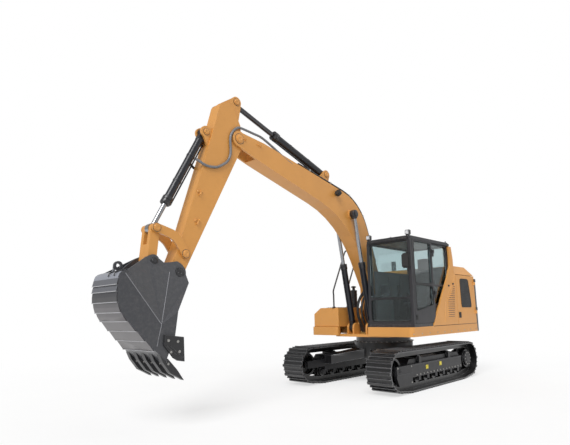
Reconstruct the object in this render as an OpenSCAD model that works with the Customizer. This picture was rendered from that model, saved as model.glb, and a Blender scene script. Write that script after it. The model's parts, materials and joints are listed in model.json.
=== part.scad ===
// Tracked hydraulic excavator of the thirteen tonne class, with a one-piece boom and a backhoe bucket.
// The machine looks along +X, its left side (the cab) is +Y, and the tracks stand on Z = 0.

/* [Machine] */
// Distance of the swing axis behind the middle of the machine's length
swing_back = 1768; // [1500:1:2200]
// Sideways offset of the boom from the swing axis, to the right
arm_offset = 140; // [100:5:200]

/* [Tracks] */
// Distance from idler axle to sprocket axle
wheelbase = 2770; // [2500:10:3000]
// Distance between the middles of the two tracks
gauge = 1990; // [1850:10:2200]
// Width of a track shoe
shoe_w = 500; // [400:10:600]
// Nominal pitch of the track chain
shoe_pitch = 171; // [150:1:200]
// Outer radius of the track around its end wheels
track_r = 345; // [330:1:370]
// Height of the idler and sprocket axles
axle_z = 385; // [375:1:420]
// Length of track that lies flat on the ground
ground_len = 2120; // [1900:10:2300]
// Height of a grouser bar
grouser_h = 26; // [15:1:40]
// Thickness of a shoe plate
shoe_t = 12; // [8:1:20]
// Height of the chain's links
link_h = 87; // [70:1:100]
// Bottom rollers on each side
roller_count = 7; // [4:1:8]

/* [Undercarriage frame] */
// Height of the top of the track frame
track_frame_top = 545; // [520:1:560]
// Height of the bottom of the track frame
track_frame_bottom = 320; // [314:1:330]
// Width of the track frame's box
track_frame_w = 230; // [200:1:260]
// Height of the carbody's top
carbody_top = 800; // [780:1:820]
// Height of the carbody's underside
carbody_bottom = 470; // [440:1:520]
// Outer radius of the swing bearing
bearing_r = 560; // [500:5:620]
// Height of the swing bearing
bearing_h = 110; // [100:1:115]

/* [Upper structure] */
// Overall width of the upper structure
house_w = 2480; // [2300:10:2490]
// Height of the underside of the deck's side beams
deck_bottom = 934; // [915:1:960]
// Height of the deck and of the cab's floor
deck_top = 1105; // [1080:1:1150]
// Reach of the deck in front of the swing axis on the cab side
deck_front = 930; // [900:5:960]
// Reach of the deck in front of the swing axis on the tank side
tank_front = 850; // [800:5:900]
// Distance of the counterweight's front face behind the swing axis
weight_front = 1880; // [1850:5:1900]
// Radius that the tail sweeps
tail_r = 2310; // [2300:5:2350]
// Height of the counterweight's top
weight_top = 2120; // [1900:5:2140]
// Height of the side panels' top edge
panel_top = 2146; // [2125:1:2160]
// Height of the engine hood
hood_top = 2335; // [2300:5:2345]
// Height of the fuel tank's top
tank_top = 1480; // [1400:5:1490]
// Height of the front tool box
box_top = 1495; // [1400:5:1550]
// Distance of the front tool box's inner face from the swing axis
box_inner = 536; // [500:1:600]

/* [Cab] */
// Front face of the cab ahead of the swing axis
cab_front = 838; // [800:1:860]
// Rear wall of the cab behind the swing axis
cab_rear = 790; // [700:5:820]
// Distance of the cab's right wall from the swing axis
cab_inner = 256; // [250:1:280]
// Step of the cab's left wall inside the house's side
cab_recess = 7; // [5:1:20]
// Height of the cab's roof
cab_top = 2794; // [2700:1:2850]
// Thickness of the cab's walls and door
cab_wall = 56; // [40:1:70]
// Place of the door's hinge post ahead of the swing axis
door_hinge_x = 10; // [0:1:40]
// Thickness of the panes
glass_t = 8; // [5:1:12]

/* [Boom] */
// Distance of the boom's foot pin ahead of the swing axis
boom_foot_x = 20; // [0:5:60]
// Height of the boom's foot pin
boom_foot_z = 1620; // [1580:5:1680]
// Length of the boom from foot pin to nose pin
boom_len = 4620; // [4500:10:4800]
// Angle of the boom above level
boom_angle = 33.5; // [30:0.5:36]
// Width of the boom's box
boom_w = 310; // [300:1:330]
// Thickness of the boom's side plates
boom_side_t = 12; // [8:1:16]
// Thickness of the boom's top and bottom plates
boom_flange_t = 14; // [8:1:20]
// Bore pins of the boom's foot and nose
main_pin_r = 40; // [30:1:45]

/* [Stick] */
// Length of the stick from nose pin to bucket pin
stick_len = 2445; // [2350:5:2550]
// Angle of the stick from level
stick_angle = -64.25; // [-68:0.25:-60]
// Width of the stick's box
stick_w = 230; // [220:1:236]
// Thickness of the stick's side plates
stick_side_t = 11; // [8:1:14]
// Thickness of the stick's front and rear plates
stick_flange_t = 13; // [8:1:18]

/* [Bucket and linkage] */
// Angle of the line from bucket pin to tooth tip
bucket_angle = -88.1; // [-92:0.1:-84]
// Distance from bucket pin to tooth tip
tooth_reach = 1377; // [1350:1:1400]
// Width of the bucket at its lip
lip_w = 870; // [800:5:940]
// Width of the bucket at its back
back_w = 690; // [640:5:760]
// Thickness of the bucket's shell
shell_t = 18; // [14:1:24]
// Teeth on the lip
tooth_count = 5; // [4:1:6]
// Length of the idler links
idler_len = 553; // [540:1:570]
// Length of the power link
power_len = 454; // [440:1:470]
// Radius of the linkage pins
link_pin_r = 33; // [28:1:36]

/* [Cylinders] */
// Barrel radius of the boom cylinders
boom_barrel_r = 62; // [56:1:64]
// Rod radius of the boom cylinders
boom_rod_r = 37; // [32:1:42]
// Closed length of the boom cylinders
boom_cyl_min = 1470; // [1450:5:1500]
// Open length of the boom cylinders
boom_cyl_max = 2500; // [2450:5:2520]
// Barrel radius of the stick cylinder
stick_barrel_r = 70; // [64:1:76]
// Rod radius of the stick cylinder
stick_rod_r = 42; // [36:1:46]
// Closed length of the stick cylinder
stick_cyl_min = 1680; // [1660:5:1700]
// Open length of the stick cylinder
stick_cyl_max = 2790; // [2740:5:2810]
// Barrel radius of the bucket cylinder
bucket_barrel_r = 58; // [52:1:64]
// Rod radius of the bucket cylinder
bucket_rod_r = 35; // [30:1:40]
// Closed length of the bucket cylinder, as a share of the stick's length
bucket_closed_share = 0.6135; // [0.6:0.0005:0.62]
// Open length of the bucket cylinder, as a share of the stick's length
bucket_open_share = 0.9734; // [0.96:0.0005:0.98]

/* [Hidden] */

// Colours
ochre = "#d49a4b";
near_black = "#2b2b2c";
dark_grey = "#47484b";
chrome = "#d8dade";
glass = "#7fa3a0";

// Shared clearances and steps
overrun = 5;
pin_fit = 0.1;
seat_gap = 0.3;
side_gap = 5;
rod_fit = 0.3;
arc_steps = 6;
round_steps = 64;
$fn = round_steps;

// Vector helpers
function unit(v) = v / norm(v);
function left_of(v) = [-v[1], v[0]];
function turned(v, a) = [v[0] * cos(a) - v[1] * sin(a), v[0] * sin(a) + v[1] * cos(a)];
function aim(v) = atan2(v[1], v[0]);
function wrapped(a) = (a + 540) % 360 - 180;

// Crossing of two circles, on the left of the line between their middles
function crossing(p, rp, q, rq) =
    let (d = norm(q - p), a = (rp * rp - rq * rq + d * d) / (2 * d), e = unit(q - p))
    p + e * a + left_of(e) * sqrt(rp * rp - a * a);

// One rounded corner: the points of an arc of radius r that touches both edges at b
function corner_arc(a, b, c, r) =
    let (
        u = unit(a - b), v = unit(c - b), half = acos(u * v) / 2,
        middle = b + unit(u + v) * r / sin(half),
        first = aim(b + u * r / tan(half) - middle),
        sweep = wrapped(aim(b + v * r / tan(half) - middle) - first)
    )
    [for (i = [0:arc_steps]) middle + turned([r, 0], first + sweep * i / arc_steps)];

// Outline from rows of x, y and corner radius
function rounded(rows) =
    let (n = len(rows), p = [for (row = rows) [row[0], row[1]]])
    [for (i = [0:n - 1]) each (
        rows[i][2] == 0 ? [p[i]] : corner_arc(p[(i + n - 1) % n], p[i], p[(i + 1) % n], rows[i][2]))];

// Outline moved inwards by d, for points that run counter-clockwise
function inset(p, d) =
    let (n = len(p))
    [for (i = [0:n - 1])
        let (
            n1 = left_of(unit(p[i] - p[(i + n - 1) % n])),
            n2 = left_of(unit(p[(i + 1) % n] - p[i]))
        )
        p[i] + d * (n1 + n2) / (1 + n1 * n2)];

// Rows of shares and a corner radius, scaled to sizes
function scaled(rows, sx, sy) = [for (row = rows) [row[0] * sx, row[1] * sy, row[2]]];

// Placement helpers
module on_swing() { translate([-swing_back, 0, 0]) children(); }

// Puts a side view, drawn in x and y, into the machine's side plane at a point and angle
module side(at = [0, 0], angle = 0) {
    translate([at[0], 0, at[1]]) rotate([0, -angle, 0]) rotate([90, 0, 0]) children();
}

// A slab of a side view, w wide, with its middle at y
module slab(w, y = 0) { translate([0, 0, -y]) linear_extrude(height = w, center = true) children(); }

// The same slab on both sides of the middle plane
module slab_pair(w, y) {
    slab(w, y) children();
    slab(w, -y) children();
}

// A crosswise pin or boss in a side view
module cross_pin(at, r, w, y = 0) {
    translate([at[0], at[1], -y]) cylinder(r = r, h = w, center = true);
}

module both_sides() {
    children();
    mirror([0, 1, 0]) children();
}

// Arm geometry: pins in side view, in the plane of the boom
boom_foot = [boom_foot_x, boom_foot_z];
boom_nose = boom_foot + turned([boom_len, 0], boom_angle);
stick_tip = boom_nose + turned([stick_len, 0], stick_angle);

// Pins on the boom, as shares of its length
boom_cyl_share = [0.381, 0.196];
stick_foot_share = [0.5844, 0.2467];
boom_cyl_pin = boom_cyl_share * boom_len;
stick_foot_pin = stick_foot_share * boom_len;

// Pins on the stick, as shares of its length
stick_cyl_share = [-0.236, 0.119];
bucket_foot_share = [0.1145, 0.2123];
idler_pin_share = [0.8785, 0.0029];
stick_cyl_pin = stick_cyl_share * stick_len;
bucket_foot_pin = bucket_foot_share * stick_len;
idler_pin = idler_pin_share * stick_len;

// Pin on the bucket, as a share of its tooth reach
bucket_pin_share = [-0.09, 0.27];
bucket_pin = bucket_pin_share * tooth_reach;

// The same pins in the machine's side view
boom_rod_at = boom_foot + turned(boom_cyl_pin, boom_angle);
stick_barrel_at = boom_foot + turned(stick_foot_pin, boom_angle);
stick_rod_at = boom_nose + turned(stick_cyl_pin, stick_angle);
bucket_barrel_at = boom_nose + turned(bucket_foot_pin, stick_angle);
idler_at = boom_nose + turned(idler_pin, stick_angle);
bucket_pin_at = stick_tip + turned(bucket_pin, bucket_angle);
link_at = crossing(idler_at, idler_len, bucket_pin_at, power_len);

// Foot of the boom cylinders on the frame
boom_barrel_ahead = 530;
boom_barrel_z = 1080;
boom_barrel_at = [boom_barrel_ahead, boom_barrel_z];
boom_cyl_side = 232;

module on_arm() { on_swing() translate([0, -arm_offset, 0]) children(); }

// Hydraulic cylinders, drawn along +X from the foot pin
boom_cyl_head = 145;
stick_cyl_head = 245;
bucket_cyl_head = 145;
rod_guide = 120;
gland_len = 110;
gland_lip = 8;
eye_w = 90;
eye_pin_w = eye_w + 2 * side_gap - 2 * seat_gap;
boom_eye_r = 78;
stick_eye_r = 82;
bucket_eye_r = 72;
bucket_cyl_min = bucket_closed_share * stick_len;
bucket_cyl_max = bucket_open_share * stick_len;
bore_floor = 30;
neck_l = 150;
neck_half = 50;

function rod_length(closed, open, head) = open - closed + head + rod_guide;

module barrel(r, rod_r, eye_r, closed, open, head) {
    mouth = closed - head;
    bottom = closed - rod_length(closed, open, head) - bore_floor;
    difference() {
        union() {
            translate([neck_l, 0, 0]) rotate([0, 90, 0]) cylinder(r = r, h = mouth - gland_len - neck_l);
            translate([0, -eye_w / 2, -neck_half]) cube([neck_l + overrun, eye_w, 2 * neck_half]);
            translate([mouth - gland_len, 0, 0]) rotate([0, 90, 0]) cylinder(r = r + gland_lip, h = gland_len);
            rotate([90, 0, 0]) cylinder(r = eye_r, h = eye_w, center = true);
        }
        translate([bottom, 0, 0]) rotate([0, 90, 0]) cylinder(r = rod_r + rod_fit, h = closed);
        rotate([90, 0, 0]) cylinder(r = main_pin_r + pin_fit, h = eye_w + overrun, center = true);
    }
}

// Rod with its eye at the given length; the pin in the eye turns with it
module rod(rod_r, eye_r, closed, open, head, length) {
    reach = rod_length(closed, open, head);
    translate([length - reach, 0, 0]) rotate([0, 90, 0]) cylinder(r = rod_r, h = reach);
    translate([length, 0, 0]) rotate([90, 0, 0]) cylinder(r = eye_r, h = eye_w, center = true);
    translate([length, 0, 0]) rotate([90, 0, 0]) cylinder(r = main_pin_r, h = eye_pin_w, center = true);
}

// Track path: the loop of the shoe plates' inner faces
path_r = track_r - grouser_h - shoe_t;
path_z = grouser_h + shoe_t;
half_base = wheelbase / 2;
half_flat = ground_len / 2;
ramp_span = [half_base - half_flat, axle_z - path_z];
ramp_angle = aim(ramp_span) - asin(path_r / norm(ramp_span));
ramp_len = sqrt(norm(ramp_span) * norm(ramp_span) - path_r * path_r);
end_sweep = 180 - ramp_angle;
end_len = path_r * end_sweep * PI / 180;
path_len = ground_len + 2 * ramp_len + 2 * end_len + wheelbase;
shoe_count = round(path_len / shoe_pitch);
pitch = path_len / shoe_count;
end_steps = 10;

// Loop that lies h inside the path
function loop_inside(h) =
    let (
        f = half_flat - h * tan(ramp_angle / 2), z = path_z + h, r = path_r - h,
        step = end_sweep / end_steps, reach = r / cos(step / 2)
    )
    concat(
        [[-f, z], [f, z]],
        [for (i = [0:end_steps - 1])
            [half_base, axle_z] + turned([reach, 0], ramp_angle - 90 + step * (i + 0.5))],
        [for (i = [0:end_steps - 1])
            [-half_base, axle_z] + turned([reach, 0], 90 + step * (i + 0.5))]);

// Place and heading of the path at a distance s from the middle of the ground
function path_at(s) =
    let (
        a = half_flat, b = a + ramp_len, c = b + end_len, d = c + wheelbase, e = d + end_len, g = e + ramp_len,
        front = [half_base, axle_z], rear = [-half_base, axle_z]
    )
    s < a ? [[s, path_z], 0] :
    s < b ? [[half_flat, path_z] + turned([s - a, 0], ramp_angle), ramp_angle] :
    s < c ? let (t = ramp_angle + (s - b) / path_r * 180 / PI) [front + turned([path_r, 0], t - 90), t] :
    s < d ? [[half_base - (s - c), axle_z + path_r], 180] :
    s < e ? let (t = 180 + (s - d) / path_r * 180 / PI) [rear + turned([path_r, 0], t - 90), t] :
    s < g ? [[-half_flat, path_z] + turned([s - g, 0], -ramp_angle), -ramp_angle] :
    [[s - g - half_flat, path_z], 0];

// Outline of one triple-bar shoe: share of the pitch along it, and whether the point is on a bar
shoe_shares = [
    [-0.485, 1], [-0.425, 1], [-0.40, 0], [-0.05, 0], [-0.03, 1],
    [0.03, 1], [0.05, 0], [0.40, 0], [0.425, 1], [0.485, 1]
];

function shoe_points(place) =
    [for (row = shoe_shares)
        place[0] + turned([row[0] * pitch, -(shoe_t + row[1] * grouser_h)], place[1])];

track_outer = [for (i = [0:shoe_count - 1]) each shoe_points(path_at((i + 0.5) * pitch))];
rail_w = 40;
rail_y = 78;

module ring_outline(outer, inner) {
    polygon(
        points = concat(outer, inner),
        paths = [
            [for (i = [0:len(outer) - 1]) i],
            [for (i = [0:len(inner) - 1]) len(outer) + i]
        ]);
}

module track(y) {
    color(near_black) on_swing() side() {
        slab(shoe_w, y) ring_outline(track_outer, loop_inside(0));
        for (rail = [-rail_y, rail_y]) slab(rail_w, y + rail) ring_outline(loop_inside(0), loop_inside(link_h));
    }
}

module track_left() { track(gauge / 2); }
module track_right() { track(-gauge / 2); }

// Wheels of the undercarriage
rail_r = path_r - link_h;
wheel_gap = 260;
shaft_r = 42;
idler_flange_r = 30;
flange_half = rail_y - rail_w / 2 - side_gap;
idler_half = rail_y + rail_w / 2 + side_gap;
rim_t = 34;
web_half = 22;
hub_r = 78;

// Turned wheel from rows of radius and half width, worked outwards
module turned_wheel(rows) {
    n = len(rows);
    rotate([90, 0, 0]) rotate_extrude()
        polygon(concat([for (row = rows) [row[0], row[1]]],
            [for (i = [n - 1:-1:0]) [rows[i][0], -rows[i][1]]]));
}

module idler_wheel() {
    r = rail_r - seat_gap;
    turned_wheel([
        [0, wheel_gap / 2], [shaft_r, wheel_gap / 2], [shaft_r, idler_half], [hub_r, idler_half],
        [hub_r, web_half], [r - rim_t, web_half], [r - rim_t, idler_half], [r, idler_half],
        [r, flange_half], [r + idler_flange_r, flange_half - side_gap]
    ]);
}

module front_idlers() {
    color(near_black) on_swing() both_sides()
        translate([half_base, gauge / 2, axle_z]) idler_wheel();
}

tooth_rings = 21;
sprocket_half = 32;
sprocket_tip = 40;
drive_r = 178;
drive_half = 150;
drive_step = 26;
drive_cap_r = 120;

module sprocket_disc() {
    root = rail_r - seat_gap;
    step = 360 / tooth_rings;
    rotate([90, 0, 0]) linear_extrude(height = 2 * sprocket_half, center = true)
        polygon([for (i = [0:tooth_rings - 1]) each [
            turned([root, 0], step * i), turned([root, 0], step * (i + 0.35)),
            turned([root + sprocket_tip, 0], step * (i + 0.55)),
            turned([root + sprocket_tip, 0], step * (i + 0.8))]]);
}

module drive_sprockets() {
    color(near_black) on_swing() both_sides() translate([-half_base, gauge / 2, axle_z]) {
        sprocket_disc();
        rotate([-90, 0, 0]) {
            cylinder(r = drive_r, h = drive_half);
            cylinder(r = drive_cap_r, h = drive_half + drive_step);
        }
    }
}

// Rollers run on the chain's rails between the brackets of the track frame
roller_r = 84;
roller_flange = 18;
carrier_r = 62;
carrier_places = [-0.42, 0.42];
roller_z = path_z + link_h + roller_r + seat_gap;
carrier_z = axle_z + rail_r - carrier_r - seat_gap;
roller_reach_share = 0.445;
roller_step = 2 * roller_reach_share * ground_len / (roller_count - 1);
bracket_t = 34;

function roller_x(i) = (i - (roller_count - 1) / 2) * roller_step;

module roller(r) {
    turned_wheel([
        [0, wheel_gap / 2], [shaft_r, wheel_gap / 2], [shaft_r, idler_half], [r, idler_half],
        [r, flange_half], [r + roller_flange, flange_half - side_gap], [r + roller_flange, web_half], [r, web_half]
    ]);
}

module track_rollers() {
    color(near_black) on_swing() both_sides() translate([0, gauge / 2, 0]) {
        for (i = [0:roller_count - 1]) translate([roller_x(i), 0, roller_z]) roller(roller_r);
        for (x = carrier_places) translate([x * half_base, 0, carrier_z]) rotate([90, 0, 0])
            cylinder(r = carrier_r, h = wheel_gap, center = true);
    }
}

// Track frame: a box with a sloped top, roller brackets below, a yoke for the idler in front
frame_front_share = 0.70;
frame_rear_share = 0.80;
yoke_half_h = 70;
web_bottom = 240;
web_top = 464;
guard_share = 0.67;
guard_t = 62;
guard_bottom = 138;
guard_ahead = 55;
guard_front = half_base + guard_ahead;
yoke_y = wheel_gap / 2 + bracket_t / 2;
motor_r = 165;

module track_frame(s) {
    inner = wheel_gap / 2;
    color(near_black) on_swing() translate([0, s * gauge / 2, 0]) side() {
        // Main box
        slab(track_frame_w) difference() {
            polygon(rounded([
            [-half_base * frame_rear_share, track_frame_bottom, 0],
            [half_base * frame_front_share, track_frame_bottom, 0],
            [half_base * frame_front_share, track_frame_top - yoke_half_h, 0],
            [half_base * frame_front_share - yoke_half_h, track_frame_top, 0],
            [-half_base * frame_rear_share + yoke_half_h, track_frame_top, 0],
            [-half_base * frame_rear_share, track_frame_top - yoke_half_h, 0]
            ]));
            for (x = carrier_places)
                translate([x * half_base - carrier_r - side_gap, carrier_z - carrier_r - side_gap])
                    square(2 * (carrier_r + side_gap));
        }
        // Side plates: a long web, hangers for the rollers and yoke arms to the idler
        slab_pair(bracket_t, yoke_y) {
            translate([-half_base * frame_rear_share, web_bottom])
                square([half_base * (frame_rear_share + guard_share), web_top - web_bottom]);
            translate([half_base * guard_share - overrun, axle_z - yoke_half_h])
                square([half_base * (1 - guard_share) + yoke_half_h, 2 * yoke_half_h]);
            for (i = [0:roller_count - 1])
                translate([roller_x(i) - hub_r / 2, roller_z - shaft_r])
                    square([hub_r, web_bottom - roller_z + shaft_r + overrun]);
            for (x = carrier_places)
                translate([x * half_base - shaft_r, web_top - overrun])
                    square([2 * shaft_r, carrier_z - web_top + overrun + shaft_r]);
        }
        slab(wheel_gap + 2 * bracket_t) translate([-half_base * frame_rear_share, track_frame_bottom + yoke_half_h])
            square([half_base * (frame_rear_share + frame_front_share) - yoke_half_h, yoke_half_h]);
        // Guard over the idler's axle, on the outer side
        slab(guard_t, s * (inner + guard_t / 2)) polygon([
            [half_base * guard_share, guard_bottom], [guard_front - yoke_half_h, guard_bottom],
            [guard_front, guard_bottom + 2 * yoke_half_h], [guard_front, web_top],
            [half_base * guard_share, web_top]
        ]);
        // Seat of the drive motor, inboard of the sprocket
        slab(inner - sprocket_half, -s * (inner + sprocket_half) / 2) difference() {
            union() {
                translate([-half_base, axle_z]) circle(r = motor_r);
                translate([-half_base, axle_z - yoke_half_h])
                    square([half_base * (1 - frame_rear_share) + yoke_half_h, 2 * yoke_half_h]);
            }
        }
    }
}

module track_frame_left() { track_frame(1); }
module track_frame_right() { track_frame(-1); }

// Carbody: a round centre with four box legs out to the track frames
leg_x_share = 0.55;
leg_w = 330;
leg_h = 170;
leg_inner_w = 430;
carbody_r = 600;

module carbody() {
    frame_face = gauge / 2 - wheel_gap / 2 - bracket_t;
    color(near_black) on_swing() {
        translate([0, 0, carbody_bottom]) cylinder(r = carbody_r, h = carbody_top - carbody_bottom);
        for (sx = [-1, 1]) for (sy = [-1, 1]) hull() {
            translate([sx * leg_inner_w / 2, 0, (carbody_bottom + carbody_top) / 2])
                cube([leg_inner_w, leg_inner_w, carbody_top - carbody_bottom - leg_h], center = true);
            translate([sx * half_base * leg_x_share, sy * (frame_face - leg_h / 2), track_frame_top - leg_h / 2])
                cube([leg_w, leg_h, leg_h], center = true);
        }
    }
}

bearing_wall = 130;

module swing_bearing() {
    color(dark_grey) on_swing() translate([0, 0, carbody_top]) difference() {
        cylinder(r = bearing_r, h = bearing_h - seat_gap);
        translate([0, 0, -overrun]) cylinder(r = bearing_r - bearing_wall, h = bearing_h + 2 * overrun);
    }
}

// Revolving frame: a base plate on the bearing, cross beams, boom brackets and cylinder clevises
plate_z = carbody_top + bearing_h;
plate_lap = 24;
base_t = deck_bottom - plate_z + plate_lap;
base_half_w = 640;
beam_t = 120;
skirt_t = 80;
boom_foot_w = 400;
foot_plate_t = 42;
foot_boss_r = 150;
clevis_t = 38;
clevis_r = 96;
beam_shares = [0.72, -0.2, -1.05, -1.75];

module revolving_frame() {
    plate_top = plate_z + base_t;
    foot_y = boom_foot_w / 2 + side_gap + foot_plate_t / 2;
    clevis_y = eye_w / 2 + side_gap + clevis_t / 2;
    color(ochre) {
        on_swing() {
            translate([-weight_front, -base_half_w, plate_z])
                cube([weight_front + tank_front - skirt_t, 2 * base_half_w, base_t]);
            for (share = beam_shares) for (sy = [-1, 1])
                translate([share * tank_front, sy > 0 ? base_half_w : -house_w / 2 + skirt_t, deck_bottom])
                    cube([beam_t, house_w / 2 - skirt_t - base_half_w, deck_top - deck_t - deck_bottom]);
        }
        on_arm() side() {
            slab_pair(foot_plate_t, foot_y) {
                translate(boom_foot) circle(r = foot_boss_r);
                polygon(rounded([
                    [side_gap - bay_front, plate_top - overrun, 0],
                    [boom_foot_x + 3 * foot_boss_r, plate_top - overrun, 0],
                    [boom_foot_x + foot_boss_r, boom_foot_z - foot_boss_r, foot_boss_r],
                    [boom_foot_x + foot_boss_r, boom_foot_z, 0],
                    [boom_foot_x - foot_boss_r, boom_foot_z, 0],
                    [-bay_front / 2, (boom_foot_z + deck_top) / 2, foot_boss_r],
                    [side_gap - bay_front, deck_top + foot_boss_r, 0]
                ]));
            }
            cross_pin(boom_foot, main_pin_r, 2 * foot_y + foot_plate_t);
            for (sy = [-1, 1]) {
                for (sc = [-1, 1]) slab(clevis_t, sy * boom_cyl_side + sc * clevis_y) {
                    translate(boom_barrel_at) circle(r = clevis_r);
                    translate([boom_barrel_ahead - clevis_r, plate_top - overrun])
                        square([2 * clevis_r, boom_barrel_z - plate_top + overrun]);
                }
                cross_pin(boom_barrel_at, main_pin_r, 2 * clevis_y + clevis_t, sy * boom_cyl_side);
            }
        }
    }
}

// Decks: side beam, front beam and floor plate on each side of the boom
deck_t = 14;

module deck(front, inner, s) {
    h = deck_top - deck_bottom;
    color(ochre) on_swing() mirror([0, s > 0 ? 0 : 1, 0]) translate([0, 0, deck_bottom]) {
        translate([-weight_front, house_w / 2 - skirt_t, 0]) cube([weight_front + front - skirt_t, skirt_t, h]);
        translate([-weight_front, base_half_w + overrun, h - deck_t])
            cube([weight_front + front - skirt_t, house_w / 2 - skirt_t - base_half_w - overrun, deck_t]);
        linear_extrude(height = h) difference() {
            polygon(rounded([
                [front - skirt_t, inner, 0], [front, inner, skirt_t / 2], [front, house_w / 2, skirt_t],
                [front - skirt_t, house_w / 2, 0]
            ]));
        }
    }
}

module deck_left() { deck(deck_front, cab_inner, 1); }
module deck_right() { deck(tank_front, box_inner, -1); }

// Counterweight: a round tail between the decks, with a chamfered top edge
weight_round = 140;
weight_bevel = 110;

module tail_outline(d) {
    intersection() {
        circle(r = tail_r - d);
        translate([-tail_r, -house_w / 2 + d]) square([tail_r - weight_front, house_w - 2 * d]);
    }
}

module counterweight() {
    color(dark_grey) on_swing() {
        translate([0, 0, deck_bottom]) linear_extrude(height = weight_top - deck_bottom - weight_bevel)
            tail_outline(0);
        translate([0, 0, weight_top - weight_bevel]) linear_extrude(height = weight_bevel)
            tail_outline(weight_bevel / 2);
        both_sides() at_side_hinges() fixed_knuckle();
    }
}

// Engine bay: a plain engine block, a bulkhead behind the cab, panels, doors and hood around it
bay_front = 920;
panel_t = 40;
engine_l = 620;
engine_w = 1150;
engine_h = 860;
engine_feet = 60;

module engine_block() {
    color(dark_grey) on_swing()
        translate([-weight_front + engine_feet, -engine_w / 2, plate_z + base_t + seat_gap])
            cube([engine_l, engine_w, engine_h]);
}

module engine_bulkhead() {
    inner = hood_edge - 2 * hood_knuckle - seat_gap;
    color(ochre) on_swing() {
        translate([-bay_front - panel_t, -house_w / 2 + panel_t, deck_top])
            cube([panel_t, house_w - 2 * panel_t, panel_top - deck_top]);
        both_sides() translate([hood_hinge_x, inner, hood_hinge_z]) {
            rotate([-90, 0, 0]) cylinder(r = hinge_r, h = hood_knuckle);
            translate([-hinge_out, 0, -leaf_l]) cube([hinge_out, hood_knuckle, leaf_l]);
        }
    }
}

// Left panel behind the cab: its front edge slants from the roof down to the deck
slant_shares = [
    [1.1625, 0], [0.276, 0.559], [0.081, 0.71], [0.069, 0.814], [0.094, 0.953], [-0.0625, 0.953], [-0.125, 0.8]
];
slant_l = cab_rear + door_hinge_x;
slant_h = cab_top - deck_top;
slant_points = [for (row = slant_shares) [row[0] * slant_l - cab_rear, deck_top + row[1] * slant_h]];
slant_foot = slant_points[0][0];
slant_slope = (slant_points[0][0] - slant_points[1][0]) / (slant_points[1][1] - slant_points[0][1]);

module left_side_panel() {
    last = slant_points[len(slant_points) - 1];
    color(ochre) on_swing() side() slab(panel_t, house_w / 2 - panel_t / 2)
        polygon(concat(slant_points,
            [[last[0], panel_top], [-bay_front - panel_t, panel_top], [-bay_front - panel_t, deck_top]]));
}

door_gap = 6;
hinge_r = 13;
hinge_out = 15;
knuckle_h = 70;
leaf_l = 62;
side_hinge_shares = [0.2, 0.8];

// Hinge knuckle with its leaf on the moving door, or its two mates on the frame
module knuckle(leaf_to, h) {
    cylinder(r = hinge_r, h = h);
    translate([min(leaf_to, 0), -hinge_out, 0]) cube([abs(leaf_to), hinge_out, h]);
}

module moving_knuckle() { knuckle(leaf_l, knuckle_h); }

module fixed_knuckle() { translate([0, 0, knuckle_h + seat_gap]) knuckle(-leaf_l, knuckle_h); }

function side_hinge_z(share) = deck_top + share * (panel_top - deck_top);
side_hinge_x = -weight_front + door_gap;

module at_side_hinges() {
    for (share = side_hinge_shares)
        translate([side_hinge_x, house_w / 2 + hinge_out, side_hinge_z(share)]) children();
}
left_door_l = weight_front - bay_front - panel_t - 2 * door_gap;

// Louvre field of a compartment door: corners as shares of the door's length and height
louvre_shares = [[0.2445, 0.337], [0.792, 0.337], [0.803, 0.918], [0.357, 0.918]];
louvre_count = 9;
louvre_d = 24;
slat_h = 34;

module louvre_outline(l, h) { polygon([for (row = louvre_shares) [row[0] * l, row[1] * h]]); }

// Extrudes a door's face view between two depths
module in_door(y0, y1) { translate([0, y1, 0]) rotate([90, 0, 0]) linear_extrude(height = y1 - y0) children(); }

module side_door(l) {
    h = panel_top - deck_top - 2 * door_gap;
    low = louvre_shares[0][1] * h;
    step = (louvre_shares[2][1] * h - low) / louvre_count;
    difference() {
        cube([l, panel_t, h]);
        in_door(-overrun, louvre_d) louvre_outline(l, h);
    }
    in_door(louvre_d / 3, louvre_d) intersection() {
        louvre_outline(l, h);
        for (i = [0:louvre_count - 1]) translate([0, low + (i + 0.5) * step - slat_h / 2]) square([l, slat_h]);
    }
}

module left_door() {
    color(ochre) on_swing() {
        translate([side_hinge_x, house_w / 2, deck_top + seat_gap])
            mirror([0, 1, 0]) side_door(left_door_l);
        at_side_hinges() moving_knuckle();
    }
}

module right_door() {
    color(ochre) on_swing() mirror([0, 1, 0]) {
        translate([side_hinge_x, house_w / 2, deck_top + seat_gap])
            mirror([0, 1, 0]) side_door(left_door_l);
        at_side_hinges() moving_knuckle();
    }
}

module right_side_panel() {
    color(ochre) on_swing()
        translate([-bay_front - panel_t, -house_w / 2, deck_top]) cube([bay_front - 2 * panel_t, panel_t, tank_top - deck_top]);
}

// Engine hood: a crowned lid over the engine bay
hood_bevel = 110;
hood_t = 30;
hood_lap = 10;
hood_hinge_x = hinge_out - bay_front;
hood_hinge_z = panel_top + seat_gap + hinge_r;
hood_knuckle = 46;
hood_edge = house_w / 2 - 2 * door_gap;

hood_front = 150;
hood_rear = 210;

// Crowned form of the hood, with its faces moved in by d and its underside lowered by drop
module hood_form(d, drop) {
    l = weight_front - bay_front - hood_lap - door_gap;
    w = house_w / 2 - door_gap;
    rise = hood_top - panel_top;
    intersection() {
        rotate([90, 0, 90]) linear_extrude(height = l)
            polygon([[2 * d - w, -drop], [w - 2 * d, -drop], [w - hood_bevel - d, rise - d], [hood_bevel + d - w, rise - d]]);
        rotate([90, 0, 0]) linear_extrude(height = 2 * w, center = true)
            polygon([[2 * d, -drop], [l - 2 * d, -drop], [l - hood_front - d, rise - d], [hood_rear + d, rise - d]]);
    }
}

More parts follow.
